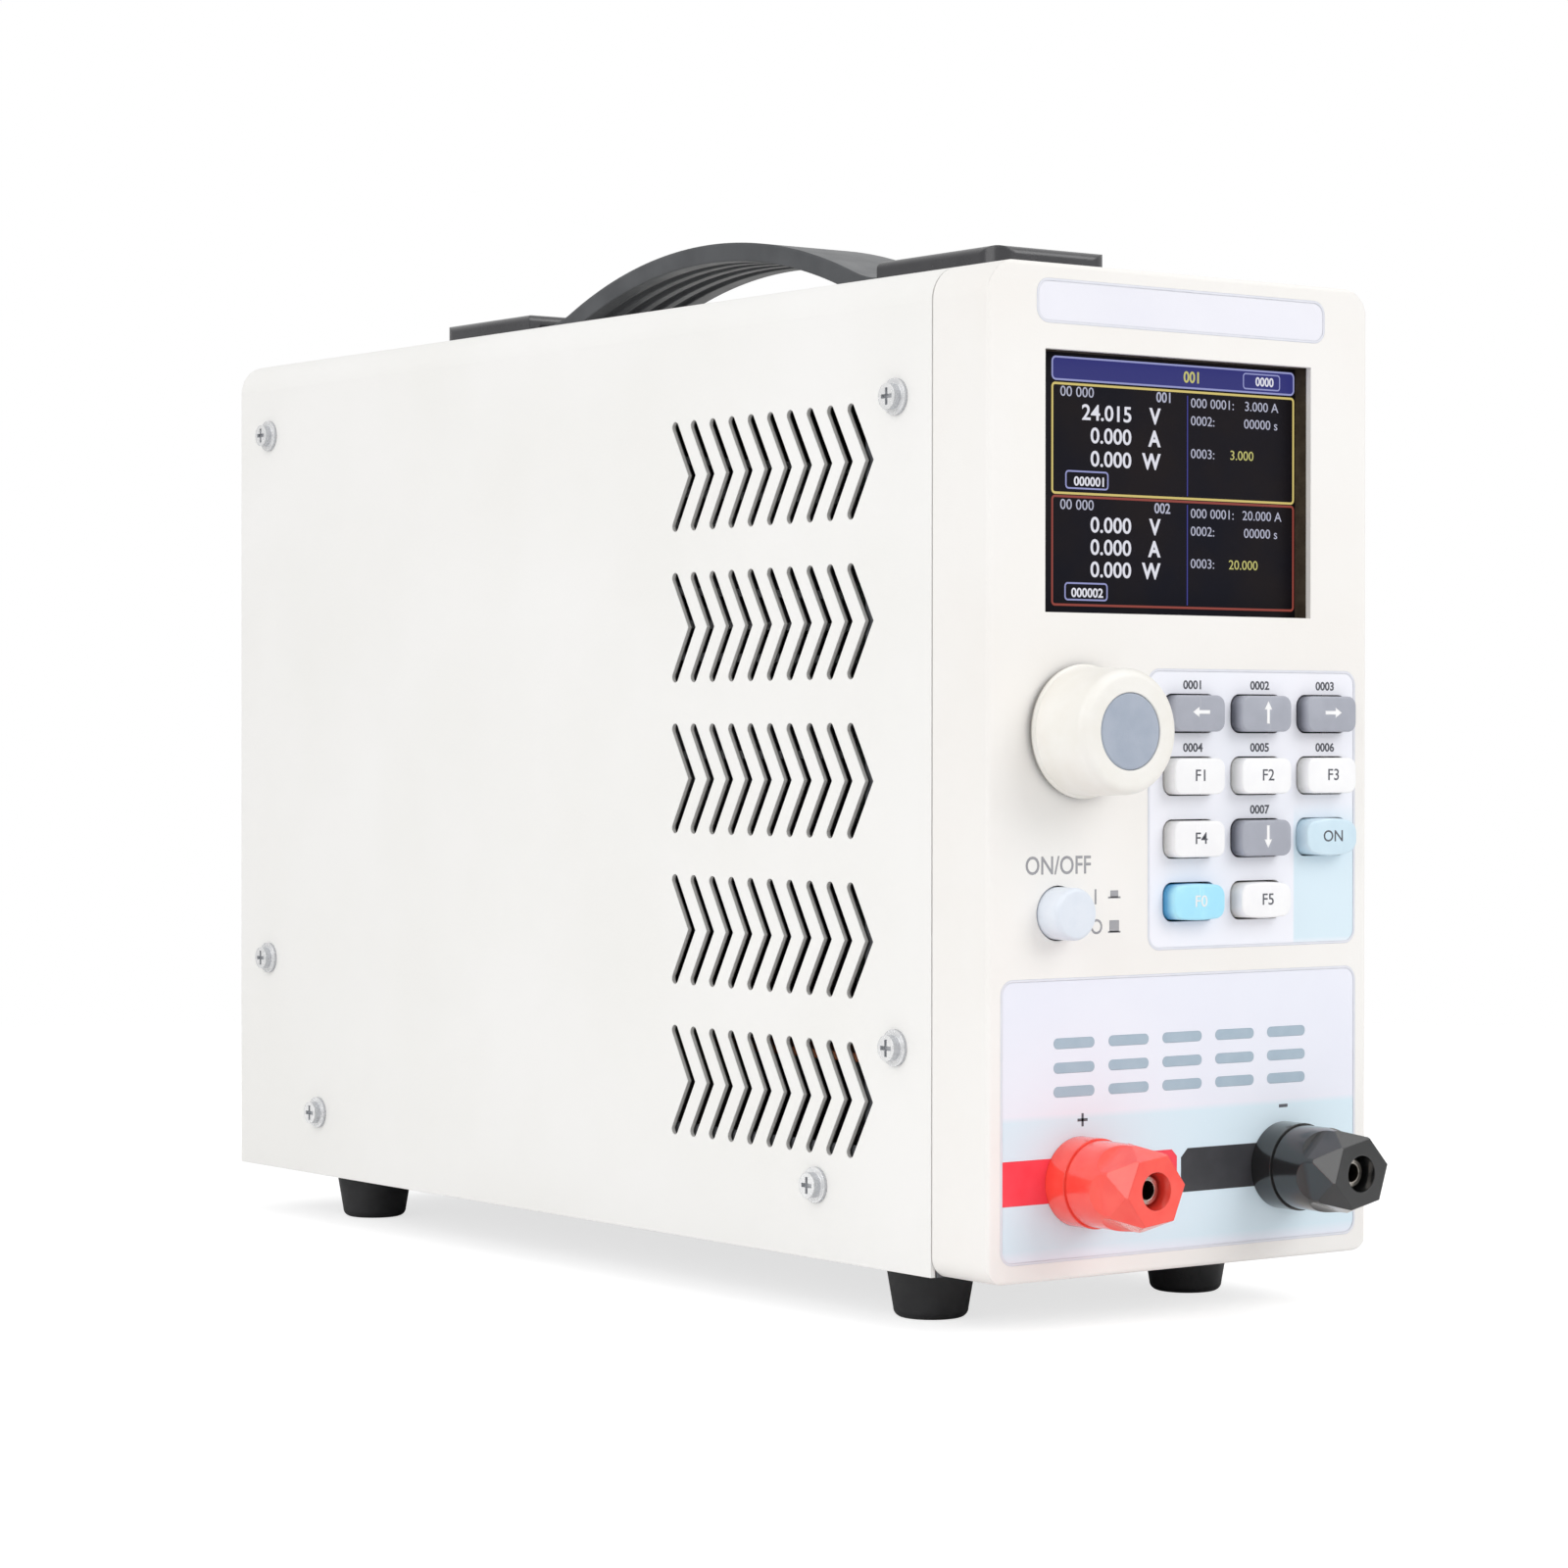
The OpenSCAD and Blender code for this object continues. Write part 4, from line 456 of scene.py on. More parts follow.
KEYPAD_FILM = Finish("keypad_film", "film_print", (248, 248, 255), (244, 246, 254),
                     layers=(KEYPAD_BLUE,), **FILM)
INPUT_FILM = Finish("input_film", "film_print", (239, 241, 251), (236, 238, 249),
                    layers=(INPUT_BLUE,), **FILM)
INK_GREY = Finish("ink_grey", "film_print", (96, 98, 106), (88, 90, 98), **MATT_INK)
INK_SIGN = Finish("ink_sign", "film_print", (166, 166, 170), (158, 158, 163), **MATT_INK)
# A painted highlight: the pale film rims stand in for the lit edges of the films over the seat gaps'
# shadow.
RIM_HIGHLIGHT = Finish("rim_highlight", "film_print", (231, 232, 240), (226, 228, 237), **FINE_INK)
INK_WHITE = Finish("ink_white", "film_print", (252, 252, 252), (248, 248, 250), **FINE_INK)
INK_PILL = Finish("ink_pill", "film_print", (172, 190, 204), (166, 185, 200),
                  patch=4, rough=0.4, rough_drift=0.1, grain=0.3, depth=0.03)
INK_RED = Finish("ink_red", "film_print", (253, 72, 88), (250, 62, 78), **BROAD_INK)
INK_BLACK = Finish("ink_black", "film_print", (62, 63, 67), (56, 57, 61), **BROAD_INK)
LIT_WHITE = Glow("lit_white", (238, 238, 248))
LIT_SOFT = Glow("lit_soft", (190, 192, 212))
LIT_YELLOW = Glow("lit_yellow", (206, 202, 120))
LIT_GOLD = Glow("lit_gold", (222, 202, 120))
LIT_RUST = Glow("lit_rust", (152, 72, 60))
LIT_VIOLET = Glow("lit_violet", (66, 66, 150))
LIT_BAR = Glow("lit_bar", (52, 54, 124))
LIT_RIM = Glow("lit_rim", (158, 162, 214))


@dataclass(frozen=True)
class Lettering:
    """A size and weight of lettering.

    Attributes:
        height: Height of a capital.
        squeeze: Width against the font's own.
        weight: How much the strokes are thickened, against the height.
    """

    height: float
    squeeze: float = 1.1
    weight: float = 0.0


class Form:
    """A mesh being made, in millimetres of the case frame."""

    SHARP = math.radians(32)
    NEAR = 1e-4
    CAPITAL = 0.73
    LETTER_STEPS = 4

    def __init__(self) -> None:
        """Starts empty."""
        self.bm = bmesh.new()

    def sheet(self, width: float, height: float, radius: float = 0.0, steps: int = 6) -> "Form":
        """Adds an upright rectangle with round corners about the origin.

        Args:
            width: Its width.
            height: Its height.
            radius: Its corner radius.
            steps: Facets of a corner.

        Returns:
            This form.
        """
        corners = ((-1, -1), (1, -1), (1, 1), (-1, 1))
        verts = [self.bm.verts.new((x * width / 2, 0.0, z * height / 2)) for x, z in corners]
        self.bm.faces.new(verts)
        if radius > 0:
            bmesh.ops.bevel(self.bm, geom=verts, offset=radius, affect="VERTICES", segments=steps,
                            profile=0.5, material=-1, clamp_overlap=True)
        return self

    def outline(self, points: Iterable[Pair]) -> "Form":
        """Adds an upright face from its corners across and up."""
        self.bm.faces.new([self.bm.verts.new((x, 0.0, z)) for x, z in points])
        return self

    def split(self, cuts: int = 10) -> "Form":
        """Adds points along the long edges of an upright sheet.

        Args:
            cuts: New points on each long edge.

        Returns:
            This form.
        """
        half = max(v.co.x for v in self.bm.verts)
        long_edges = [e for e in self.bm.edges if abs(e.verts[0].co.x - e.verts[1].co.x) > half]
        bmesh.ops.subdivide_edges(self.bm, edges=long_edges, cuts=cuts)
        return self

    def pinch(self, crown: float) -> "Form":
        """Draws the ends of the front outline in, so that its long edges bow.

        Args:
            crown: How far the ends move.

        Returns:
            This form.
        """
        half = max(v.co.x for v in self.bm.verts)
        front = min(v.co.y for v in self.bm.verts)
        for vert in self.bm.verts:
            if vert.co.y < front + self.NEAR:
                vert.co.z -= math.copysign(crown * (vert.co.x / half) ** 2, vert.co.z)
        return self

    def deepen(self, depth: float) -> "Form":
        """Extrudes every face backwards.

        Args:
            depth: How far.

        Returns:
            This form.
        """
        grown = bmesh.ops.extrude_face_region(self.bm, geom=list(self.bm.faces))["geom"]
        verts = [g for g in grown if isinstance(g, bmesh.types.BMVert)]
        bmesh.ops.translate(self.bm, vec=(0.0, depth, 0.0), verts=verts)
        return self

    def ease(self, radius: float, steps: int = 5) -> "Form":
        """Rounds the edges around the front faces.

        Args:
            radius: Radius of the rounding.
            steps: Its facets.

        Returns:
            This form.
        """
        front = min(v.co.y for v in self.bm.verts)
        edges = [e for e in self.bm.edges if all(v.co.y < front + self.NEAR for v in e.verts)]
        bmesh.ops.bevel(self.bm, geom=edges, offset=radius, affect="EDGES", segments=steps,
                        profile=0.5, material=-1, clamp_overlap=True)
        return self

    def lathe(self, profile: Sequence[Pair], steps: int) -> "Form":
        """Turns a half section about the depth axis.

        Args:
            profile: Radius and depth of its points, in order.
            steps: Facets around.

        Returns:
            This form.
        """
        verts = [self.bm.verts.new((r, y, 0.0)) for r, y in profile]
        edges = [self.bm.edges.new(pair) for pair in zip(verts, verts[1:])]
        bmesh.ops.spin(self.bm, geom=verts + edges, cent=(0, 0, 0), axis=(0, 1, 0), dvec=(0, 0, 0),
                       angle=math.tau, steps=steps, use_merge=True, use_duplicate=False)
        bmesh.ops.remove_doubles(self.bm, verts=list(self.bm.verts), dist=self.NEAR)
        return self

    def words(self, text: str, style: Lettering) -> "Form":
        """Adds lettering about the origin, facing the front.

        Args:
            text: The characters.
            style: Their size and weight.

        Returns:
            This form.
        """
        curve = bpy.data.curves.new("words", "FONT")
        curve.body = text
        curve.size = style.height / self.CAPITAL
        curve.align_x = "CENTER"
        curve.resolution_u = self.LETTER_STEPS
        curve.offset = style.weight * style.height
        holder = bpy.data.objects.new("words", curve)
        bpy.context.scene.collection.objects.link(holder)
        depsgraph = bpy.context.evaluated_depsgraph_get()
        mesh = bpy.data.meshes.new_from_object(holder.evaluated_get(depsgraph))
        mesh.transform(UPRIGHT @ Matrix.Diagonal((style.squeeze, 1.0, 1.0, 1.0)))
        mesh.transform(Matrix.Translation((0.0, 0.0, -style.height / 2)))
        self.bm.from_mesh(mesh)
        bpy.data.objects.remove(holder)
        bpy.data.curves.remove(curve)
        bpy.data.meshes.remove(mesh)
        return self

    def turn(self, degrees: float) -> "Form":
        """Turns the form clockwise as the front is seen."""
        turned = Matrix.Rotation(math.radians(degrees), 4, "Y")
        bmesh.ops.transform(self.bm, matrix=turned, verts=list(self.bm.verts))
        return self

    def move(self, x: float = 0.0, y: float = 0.0, z: float = 0.0) -> "Form":
        """Moves the form across, back and up."""
        bmesh.ops.translate(self.bm, vec=(x, y, z), verts=list(self.bm.verts))
        return self

    def add(self, other: "Form") -> "Form":
        """Takes another form's mesh in and frees it.

        Args:
            other: The other form.

        Returns:
            This form.
        """
        mesh = bpy.data.meshes.new("part")
        other.bm.to_mesh(mesh)
        other.bm.free()
        self.bm.from_mesh(mesh)
        bpy.data.meshes.remove(mesh)
        return self

    def publish(self, name: str, surface: Surface, body: str = CASE,
                stands_for: Sequence[str] = ()) -> None:
        """Makes the finished piece.

        Args:
            name: The piece's name.
            surface: Its finish.
            body: The body that it rides on.
            stands_for: CAD nodes that it replaces.
        """
        bmesh.ops.recalc_face_normals(self.bm, faces=list(self.bm.faces))
        for edge in self.bm.edges:
            flat = edge.is_manifold and edge.calc_face_angle(0.0) < self.SHARP
            edge.smooth = bool(flat)
        for face in self.bm.faces:
            face.smooth = True
        bmesh.ops.transform(self.bm, matrix=TO_PART, verts=list(self.bm.verts))
        mesh = bpy.data.meshes.new(name)
        self.bm.to_mesh(mesh)
        self.bm.free()
        mesh.materials.append(surface.material())
        piece = bpy.data.objects.new(name, mesh)
        bpy.context.scene.collection.objects.link(piece)
        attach(piece, body)
        if stands_for:
            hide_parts(*stands_for)
        LOG.info("%s: %d faces on %s", name, len(mesh.polygons), body)


def laid(form: Form, x: float, z: float, y: float = 0.0) -> Form:
    """Gives a flat form the thickness of print and lays it on the face at depth y."""
    return form.deepen(PRINT).move(x, y - PRINT, z)


def frame_ring(width: float, height: float, radius: float, line: float, steps: int = 6) -> Form:
    """Makes a flat upright ring with round corners.

    Args:
        width: Outer width.
        height: Outer height.
        radius: Outer corner radius.
        line: Width of the ring.
        steps: Facets of a corner.

    Returns:
        The ring.
    """
    ring = Form().sheet(width, height, radius, steps)
    inner = bmesh.ops.inset_region(ring.bm, faces=list(ring.bm.faces), thickness=line, use_even_offset=True,
                                   use_boundary=True)
    rim = set(inner["faces"])
    bmesh.ops.delete(ring.bm, geom=[f for f in ring.bm.faces if f not in rim], context="FACES")
    return ring


def film_rim(name: str, width: float, height: float, x: float, z: float) -> None:
    """Lays a pale ring over the rim of a film, which reaches over the film's seat in the bezel: a painted
    highlight that stands in for the film's lit edge and covers the shadow in the seat gap.

    Args:
        name: The piece's name.
        width: The film's width.
        height: The film's height.
        x: Across to its centre.
        z: Up to its centre.
    """
    reach, radius, line = 0.5, 3.2, 0.6
    ring = frame_ring(width + reach, height + reach, radius, line)
    laid(ring, x, z).publish(name, RIM_HIGHLIGHT)


def corner(radius: float, front: float, rounding: float, start: float, steps: int) -> list[Pair]:
    """Gives the round front corner of a turned piece, from its side to its face.

    Args:
        radius: Radius of its side.
        front: Depth of its face.
        rounding: Radius of the corner.
        start: Angle where the corner starts, in degrees.
        steps: Facets of the corner.

    Returns:
        Radius and depth of the points.
    """
    points = []
    for i in range(steps + 1):
        angle = math.radians(start + (90.0 - start) * i / steps)
        across = radius - rounding + rounding * math.cos(angle)
        points.append((across, front + rounding - rounding * math.sin(angle)))
    return points


def dress(surface: Surface, *nodes: str) -> None:
    """Gives CAD nodes a finish.

    Args:
        surface: The finish.
        nodes: The nodes' names.
    """
    for name in nodes:
        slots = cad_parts[name].data.materials
        slots.clear()
        slots.append(surface.material())
        LOG.info("%s: dressed in %s", name, surface.name)


class Legend(Enum):
    """What a key's cap carries: an arrow, by its turn in degrees, or a word."""

    LEFT = 270.0
    UP = 0.0
    RIGHT = 90.0
    DOWN = 180.0
    WORD = None


class KeyShape(Enum):
    """Outlines of the keys: how far the ends of the front are drawn in."""

    PLAIN = 0.0
    BOWED = 0.55
    OVAL = 1.2


@dataclass
class Key:
    """One key of the keypad.

    Attributes:
        node: The CAD node and body.
        column: Column from the left.
        row: Row from the top.
        surface: Its finish.
        legend: Arrow or word.
        word: The word, where there is one.
        ink: The legend's finish.
        shape: Its outline.
        note: Small number above it.
    """

    node: str
    column: int
    row: int
    surface: Finish
    legend: Legend
    word: str = ""
    ink: Finish = INK_WHITE
    shape: KeyShape = KeyShape.PLAIN
    note: str = ""


@dataclass
class Keypad:
    """The keys with their legends, and the keypad film's print."""

    width: float = 14.8
    height: float = 7.9
    radius: float = 2.2
    rise: float = 3.5
    tail: float = 3.3
    edge: float = 0.75
    skirt: float = 0.45
    pitch_x: float = 19.75
    pitch_z: float = 13.65
    middle_x: float = 21.35
    top_z: float = 120.6
    film_y: float = 0.05
    film_x: float = 20.45
    film_z: float = 99.8
    film_w: float = 61.4
    film_h: float = 60.5
    word: Lettering = Lettering(2.6, weight=0.01)
    note: Lettering = Lettering(1.9, weight=0.035)
    note_x: float = 1.0
    note_z: float = 6.3
    legend_shift: float = 0.3
    legend_thick: float = 0.04
    legend_proud: float = 0.02
    arrow_half: float = 2.5
    arrow_point: float = 1.9
    arrow_head: float = 1.15
    arrow_stem: float = 0.42
    keys: list[Key] = field(default_factory=lambda: [
        Key("key_left", 0, 0, KEY_GREY, Legend.LEFT, note="0001"),
        Key("key_up", 1, 0, KEY_GREY, Legend.UP, note="0002"),
        Key("key_right", 2, 0, KEY_GREY, Legend.RIGHT, note="0003"),
        Key("key_f1", 0, 1, KEY_WHITE, Legend.WORD, "F1", INK_GREY, note="0004"),
        Key("key_f2", 1, 1, KEY_WHITE, Legend.WORD, "F2", INK_GREY, note="0005"),
        Key("key_f3", 2, 1, KEY_WHITE, Legend.WORD, "F3", INK_GREY, note="0006"),
        Key("key_f4", 0, 2, KEY_WHITE, Legend.WORD, "F4", INK_GREY),
        Key("key_down", 1, 2, KEY_GREY, Legend.DOWN, note="0007"),
        Key("key_on", 2, 2, KEY_ICE, Legend.WORD, "ON", INK_GREY, KeyShape.OVAL),
        Key("key_blue", 0, 3, KEY_SKY, Legend.WORD, "F0", INK_WHITE, KeyShape.BOWED),
        Key("key_f5", 1, 3, KEY_WHITE, Legend.WORD, "F5", INK_GREY, KeyShape.BOWED),
    ])

    def place(self, key: Key) -> Pair:
        """Gives a key's centre across and up."""
        return (self.middle_x + (key.column - 1) * self.pitch_x, self.top_z - key.row * self.pitch_z)

    def arrow(self, legend: Legend) -> Form:
        """Makes an arrow about 5 mm long.

        Args:
            legend: Which way it points.

        Returns:
            The arrow.
        """
        half = self.arrow_half
        neck = half - self.arrow_point
        head = self.arrow_head
        stem = self.arrow_stem
        points = ((-stem, -half), (stem, -half), (stem, neck), (head, neck), (0.0, half), (-head, neck),
                  (-stem, neck))
        return Form().outline(points).turn(legend.value)

    def build_key(self, key: Key) -> None:
        """Makes one key and its legend.

        Args:
            key: The key.
        """
        x, z = self.place(key)
        grown = self.skirt if key.shape is KeyShape.OVAL else 0.0
        cap = Form().sheet(self.width + grown, self.height + grown, self.radius).split()
        cap.deepen(self.rise + self.tail).pinch(key.shape.value).ease(self.edge)
        cap.move(x, -self.rise, z).publish(key.node + "_cap", key.surface, key.node, [key.node])
        if key.legend is Legend.WORD:
            mark = Form().words(key.word, self.word)
        else:
            mark = self.arrow(key.legend)
        shift = self.legend_shift
        mark.deepen(self.legend_thick).move(x + shift, -self.rise - self.legend_proud, z + shift)
        mark.publish(key.node + "_legend", key.ink, key.node)

    def build(self) -> None:
        """Makes the keys, their small numbers and the film's rim."""
        dress(KEYPAD_FILM, "keypad_overlay")
        for key in self.keys:
            self.build_key(key)
        notes = Form()
        for key in self.keys:
            if key.note:
                x, z = self.place(key)
                note = Form().words(key.note, self.note)
                notes.add(laid(note, x + self.note_x, z + self.note_z, self.film_y))
        notes.publish("keypad_numbers", INK_GREY)
        film_rim("keypad_rim", self.film_w, self.film_h, self.film_x, self.film_z)


@dataclass(frozen=True)
class Box:
    """A rounded frame on the display: its four sides, its line's width and its corner radius."""

    left: float
    right: float
    low: float
    high: float
    line: float
    radius: float

    def size(self) -> Pair:
        """Gives its width and height."""
        return (self.right - self.left, self.high - self.low)

    def middle(self) -> Pair:
        """Gives its centre across and up."""
        return ((self.left + self.right) / 2, (self.low + self.high) / 2)


Entry = tuple[str, float, float]


@dataclass
class Display:
    """The display's glass, its lining and what it shows.

    An entry is a line's characters, where it ends across, and its foot.
    """

    depth: float = 5.1
    lift: float = 0.06
    rim_lift: float = 0.02
    word_lift: float = 0.04
    header: Box = Box(-33.5, 37.3, 191.7, 196.9, line=0.4, radius=1.2)
    chip: Box = Box(21.8, 33.0, 192.5, 196.1, line=0.3, radius=0.8)
    upper_mark: Box = Box(-29.6, -17.4, 168.6, 172.6, line=0.35, radius=0.9)
    lower_mark: Box = Box(-29.8, -17.6, 144.7, 148.6, line=0.35, radius=0.9)
    upper: Box = Box(-33.5, 37.3, 167.4, 191.3, line=0.5, radius=1.0)
    lower: Box = Box(-33.5, 37.3, 143.5, 167.2, line=0.5, radius=1.0)
    divider: Pair = (0.3, 22.0)
    divider_x: float = 5.4
    divider_rows: Pair = (179.2, 155.3)
    big: Lettering = Lettering(3.45, 1.12, 0.02)
    unit: Lettering = Lettering(3.5, 1.0, 0.04)
    small: Lettering = Lettering(2.15)
    label: Lettering = Lettering(2.3)
    number: Lettering = Lettering(2.3, 1.0, 0.02)
    chip_type: Lettering = Lettering(2.0, 1.0, 0.03)
    mark_type: Lettering = Lettering(2.0, weight=0.03)
    header_type: Lettering = Lettering(2.5, 1.0, 0.03)
    big_end: float = -10.9
    unit_end: float = -2.4
    column: float = 6.4
    label_end: float = -21.6
    number_end: float = 0.4
    readings: tuple[tuple[float, str, str], ...] = (
        (183.6, "24.015", "V"), (178.7, "0.000", "A"), (173.7, "0.000", "W"),
        (159.5, "0.000", "V"), (154.7, "0.000", "A"), (149.9, "0.000", "W"),
    )
    chip_entry: Entry = ("0000", 31.0, 193.4)
    mark_entries: tuple[Entry, ...] = (("000001", -18.7, 169.4), ("000002", -18.9, 145.5))
    rows: tuple[tuple[str, Entry], ...] = (
        ("000 0001:", ("3.000 A", 32.5, 187.7)), ("0002:", ("00000 s", 32.2, 183.8)),
        ("000 0001:", ("20.000 A", 33.5, 163.5)), ("0002:", ("00000 s", 32.2, 159.6)),
    )
    set_rows: Pair = (176.6, 152.5)
    titles: tuple[tuple[float, str], ...] = ((188.4, "001"), (164.2, "002"))
    set_entries: tuple[Entry, ...] = (("3.000", 25.0, 176.7), ("20.000", 26.3, 152.5))
    header_entry: Entry = ("001", 8.7, 193.1)

    def place(self, form: Form, x: float, z: float) -> Form:
        """Sets a flat form on the display's face."""
        return form.deepen(PRINT).move(x, self.depth - self.lift, z)

    def boxed(self, box: Box) -> Form:
        """Makes a frame's ring, in place."""
        return self.place(frame_ring(*box.size(), box.radius, box.line), *box.middle())

    def build_bars(self) -> None:
        """Makes the header bar, the frames and the divider."""
        header = Form().sheet(*self.header.size(), self.header.radius)
        self.place(header, *self.header.middle()).publish("screen_bar", LIT_BAR)
        rims = self.boxed(self.header)
        rims.add(self.boxed(self.chip)).move(y=-self.rim_lift)
        rims.add(self.boxed(self.upper_mark))
        rims.add(self.boxed(self.lower_mark))
        rims.publish("screen_rims", LIT_RIM)
        self.boxed(self.upper).publish("screen_frame_upper", LIT_GOLD)
        self.boxed(self.lower).publish("screen_frame_lower", LIT_RUST)
        divider = Form()
        for z in self.divider_rows:
            divider.add(self.place(Form().sheet(*self.divider), self.divider_x, z))
        divider.publish("screen_divider", LIT_VIOLET)

    def line(self, style: Lettering, text: str, end: float, low: float, from_left: bool = False) -> Form:
        """Makes a line of characters, in place.

        Args:
            style: Its lettering.
            text: The characters.
            end: Where it ends across, or where it starts from the left.
            low: Its foot.
            from_left: Whether it starts at that place.

        Returns:
            The line.
        """
        made = Form().words(text, style)
        across = [v.co.x for v in made.bm.verts]
        edge = min(across) if from_left else max(across)
        return self.place(made, end - edge, low + style.height / 2)

    def build_readings(self) -> None:
        """Makes the large readings, their units and the numbers in the boxes."""
        strong = Form()
        for low, digits, unit in self.readings:
            strong.add(self.line(self.big, digits, self.big_end, low))
            strong.add(self.line(self.unit, unit, self.unit_end, low))
        strong.add(self.line(self.chip_type, *self.chip_entry).move(y=-self.word_lift))
        for entry in self.mark_entries:
            strong.add(self.line(self.mark_type, *entry))
        strong.publish("screen_readings", LIT_WHITE)

    def build_rows(self) -> None:
        """Makes the small rows and the set values."""
        soft = Form()
        for name, entry in self.rows:
            soft.add(self.line(self.small, name, self.column, entry[2], True))
            soft.add(self.line(self.small, *entry))
        for low in self.set_rows:
            soft.add(self.line(self.small, "0003:", self.column, low, True))
        for low, number in self.titles:
            soft.add(self.line(self.label, "00 000", self.label_end, low))
            soft.add(self.line(self.number, number, self.number_end, low))
        soft.publish("screen_rows", LIT_SOFT)
        gold = Form()
        for entry in self.set_entries:
            gold.add(self.line(self.small, *entry))
        gold.add(self.line(self.header_type, *self.header_entry).move(y=-self.word_lift))
        gold.publish("screen_set_values", LIT_YELLOW)

    def build(self) -> None:
        """Makes the display."""
        dress(LCD, "display_module")
        dress(GASKET, "display_gasket")
        self.build_bars()
        self.build_readings()
        self.build_rows()


@dataclass
class InputPanel:
    """The print of the input film around the posts."""

    film_y: float = 0.05
    film_w: float = 102.6
    film_h: float = 59.8
    film_z: float = 34.1
    post_x: float = 29.6
    pill_w: float = 11.4
    pill_h: float = 2.3
    pill_round: float = 0.48
    pill_steps: int = 8
    pill_pitch: float = 15.4
    pill_middle: float = -0.4
    pill_columns: tuple[int, ...] = (-2, -1, 0, 1, 2)
    pill_rows: tuple[float, ...] = (50.3, 45.1, 40.0)
    bar_low: float = 16.5
    bar_high: float = 26.0
    bar_end: float = 51.1
    red_end: float = -1.9
    red_cut: float = 1.5
    black_start: float = -0.7
    black_cut: float = 1.9
    sign_z: float = 33.8
    plus: Pair = (2.8, 0.6)
    plus_shift: float = 0.8
    minus: Pair = (2.6, 0.7)

    def flat(self, form: Form, x: float = 0.0, z: float = 0.0) -> Form:
        """Lays a flat form on the film."""
        return laid(form, x, z, self.film_y)

    def build_bars(self) -> None:
        """Makes the red and the black bar."""
        low = self.bar_low
        high = self.bar_high
        end = self.bar_end
        stop = self.red_end
        cut = self.red_cut
        red = ((-end, low), (stop, low), (stop, high - cut), (stop - cut, high), (-end, high))
        self.flat(Form().outline(red)).publish("red_bar", INK_RED)
        start = self.black_start
        cut = self.black_cut
        black = ((start, low), (end, low), (end, high), (start + cut, high), (start, high - cut))
        self.flat(Form().outline(black)).publish("black_bar", INK_BLACK)

    def build(self) -> None:
        """Makes the pills, the bars, the signs and the rim."""
        dress(INPUT_FILM, "input_overlay")
        pills = Form()
        radius = self.pill_h * self.pill_round
        for row in self.pill_rows:
            for column in self.pill_columns:
                pill = Form().sheet(self.pill_w, self.pill_h, radius, self.pill_steps)
                pills.add(self.flat(pill, self.pill_middle + column * self.pill_pitch, row))
        pills.publish("pill_marks", INK_PILL)
        self.build_bars()
        length, width = self.plus
        plus_x = -self.post_x + self.plus_shift
        signs = self.flat(Form().sheet(length, width), plus_x, self.sign_z)
        signs.add(self.flat(Form().sheet(width, length), plus_x, self.sign_z))
        signs.add(self.flat(Form().sheet(*self.minus), self.post_x, self.sign_z))
        signs.publish("polarity_signs", INK_GREY)
        film_rim("input_rim", self.film_w, self.film_h, 0.0, self.film_z)


@dataclass
class TitleStrip:
    """The bare title film and its rim."""

    width: float = 83.2
    height: float = 9.0
    z: float = 207.9

    def build(self) -> None:
        """Dresses the film and makes its rim."""
        dress(PLAIN_FILM, "title_overlay")
        film_rim("title_rim", self.width, self.height, 0.0, self.z)


@dataclass
class Knob:
    """The rotary knob and the disc in its face."""

    x: float = -29.9
    z: float = 116.6
    gap: float = 0.8
    length: float = 15.9
    bore_r: float = 5.6
    base_r: float = 14.35
    base_ease: float = 0.25
    front_r: float = 13.4
    draft: float = 4.0
    rounding: float = 2.2
    corner_steps: int = 12
    rim: float = 1.2
    rim_slope: Pair = (0.6, 0.3)
    disc_r: float = 8.1
    disc_ease: float = 0.3
    disc_back: float = 0.02
    seat_gap: float = 0.1
    seat_lip: Pair = (0.25, 0.2)
    seat_depth: float = 1.0
    facets: int = 96
    disc_facets: int = 72

    def profile(self) -> list[Pair]:
        """Gives the outer half section from the rear to the disc's seat."""
        rear = -self.gap
        front = rear - self.length
        run, fall = self.rim_slope
        lip_r, lip_depth = self.seat_lip
        seat_r = self.disc_r + self.seat_gap
        points = [
            (self.bore_r, rear),
            (self.base_r - self.base_ease, rear),
            (self.base_r, rear - self.base_ease),
            (self.base_r, rear - self.rim + fall),
            (self.base_r - run, rear - self.rim),
        ]
        points += corner(self.front_r, front, self.rounding, self.draft, self.corner_steps)
        points += [
            (self.disc_r + lip_r, front),
            (seat_r, front + lip_depth),
            (seat_r, front + self.seat_depth),
            (0.0, front + self.seat_depth),
        ]
        return points

    def build(self) -> None:
        """Makes the knob and its disc."""
        body = Form().lathe(self.profile(), self.facets)
        body.move(self.x, 0.0, self.z).publish("knob_body", KNOB, "knob", ["knob"])
        front = -self.gap - self.length
        section = [
            (0.0, front + self.disc_back),
            (self.disc_r - self.disc_ease, front + self.disc_back),
            (self.disc_r, front + self.disc_ease),
            (self.disc_r, front + self.seat_depth),
            (0.0, front + self.seat_depth),
        ]
        disc = Form().lathe(section, self.disc_facets)
        disc.move(self.x, 0.0, self.z).publish("knob_disc", DISC, "knob", ["knob_insert"])
        dress(NICKEL, "encoder_body", "encoder_shaft")


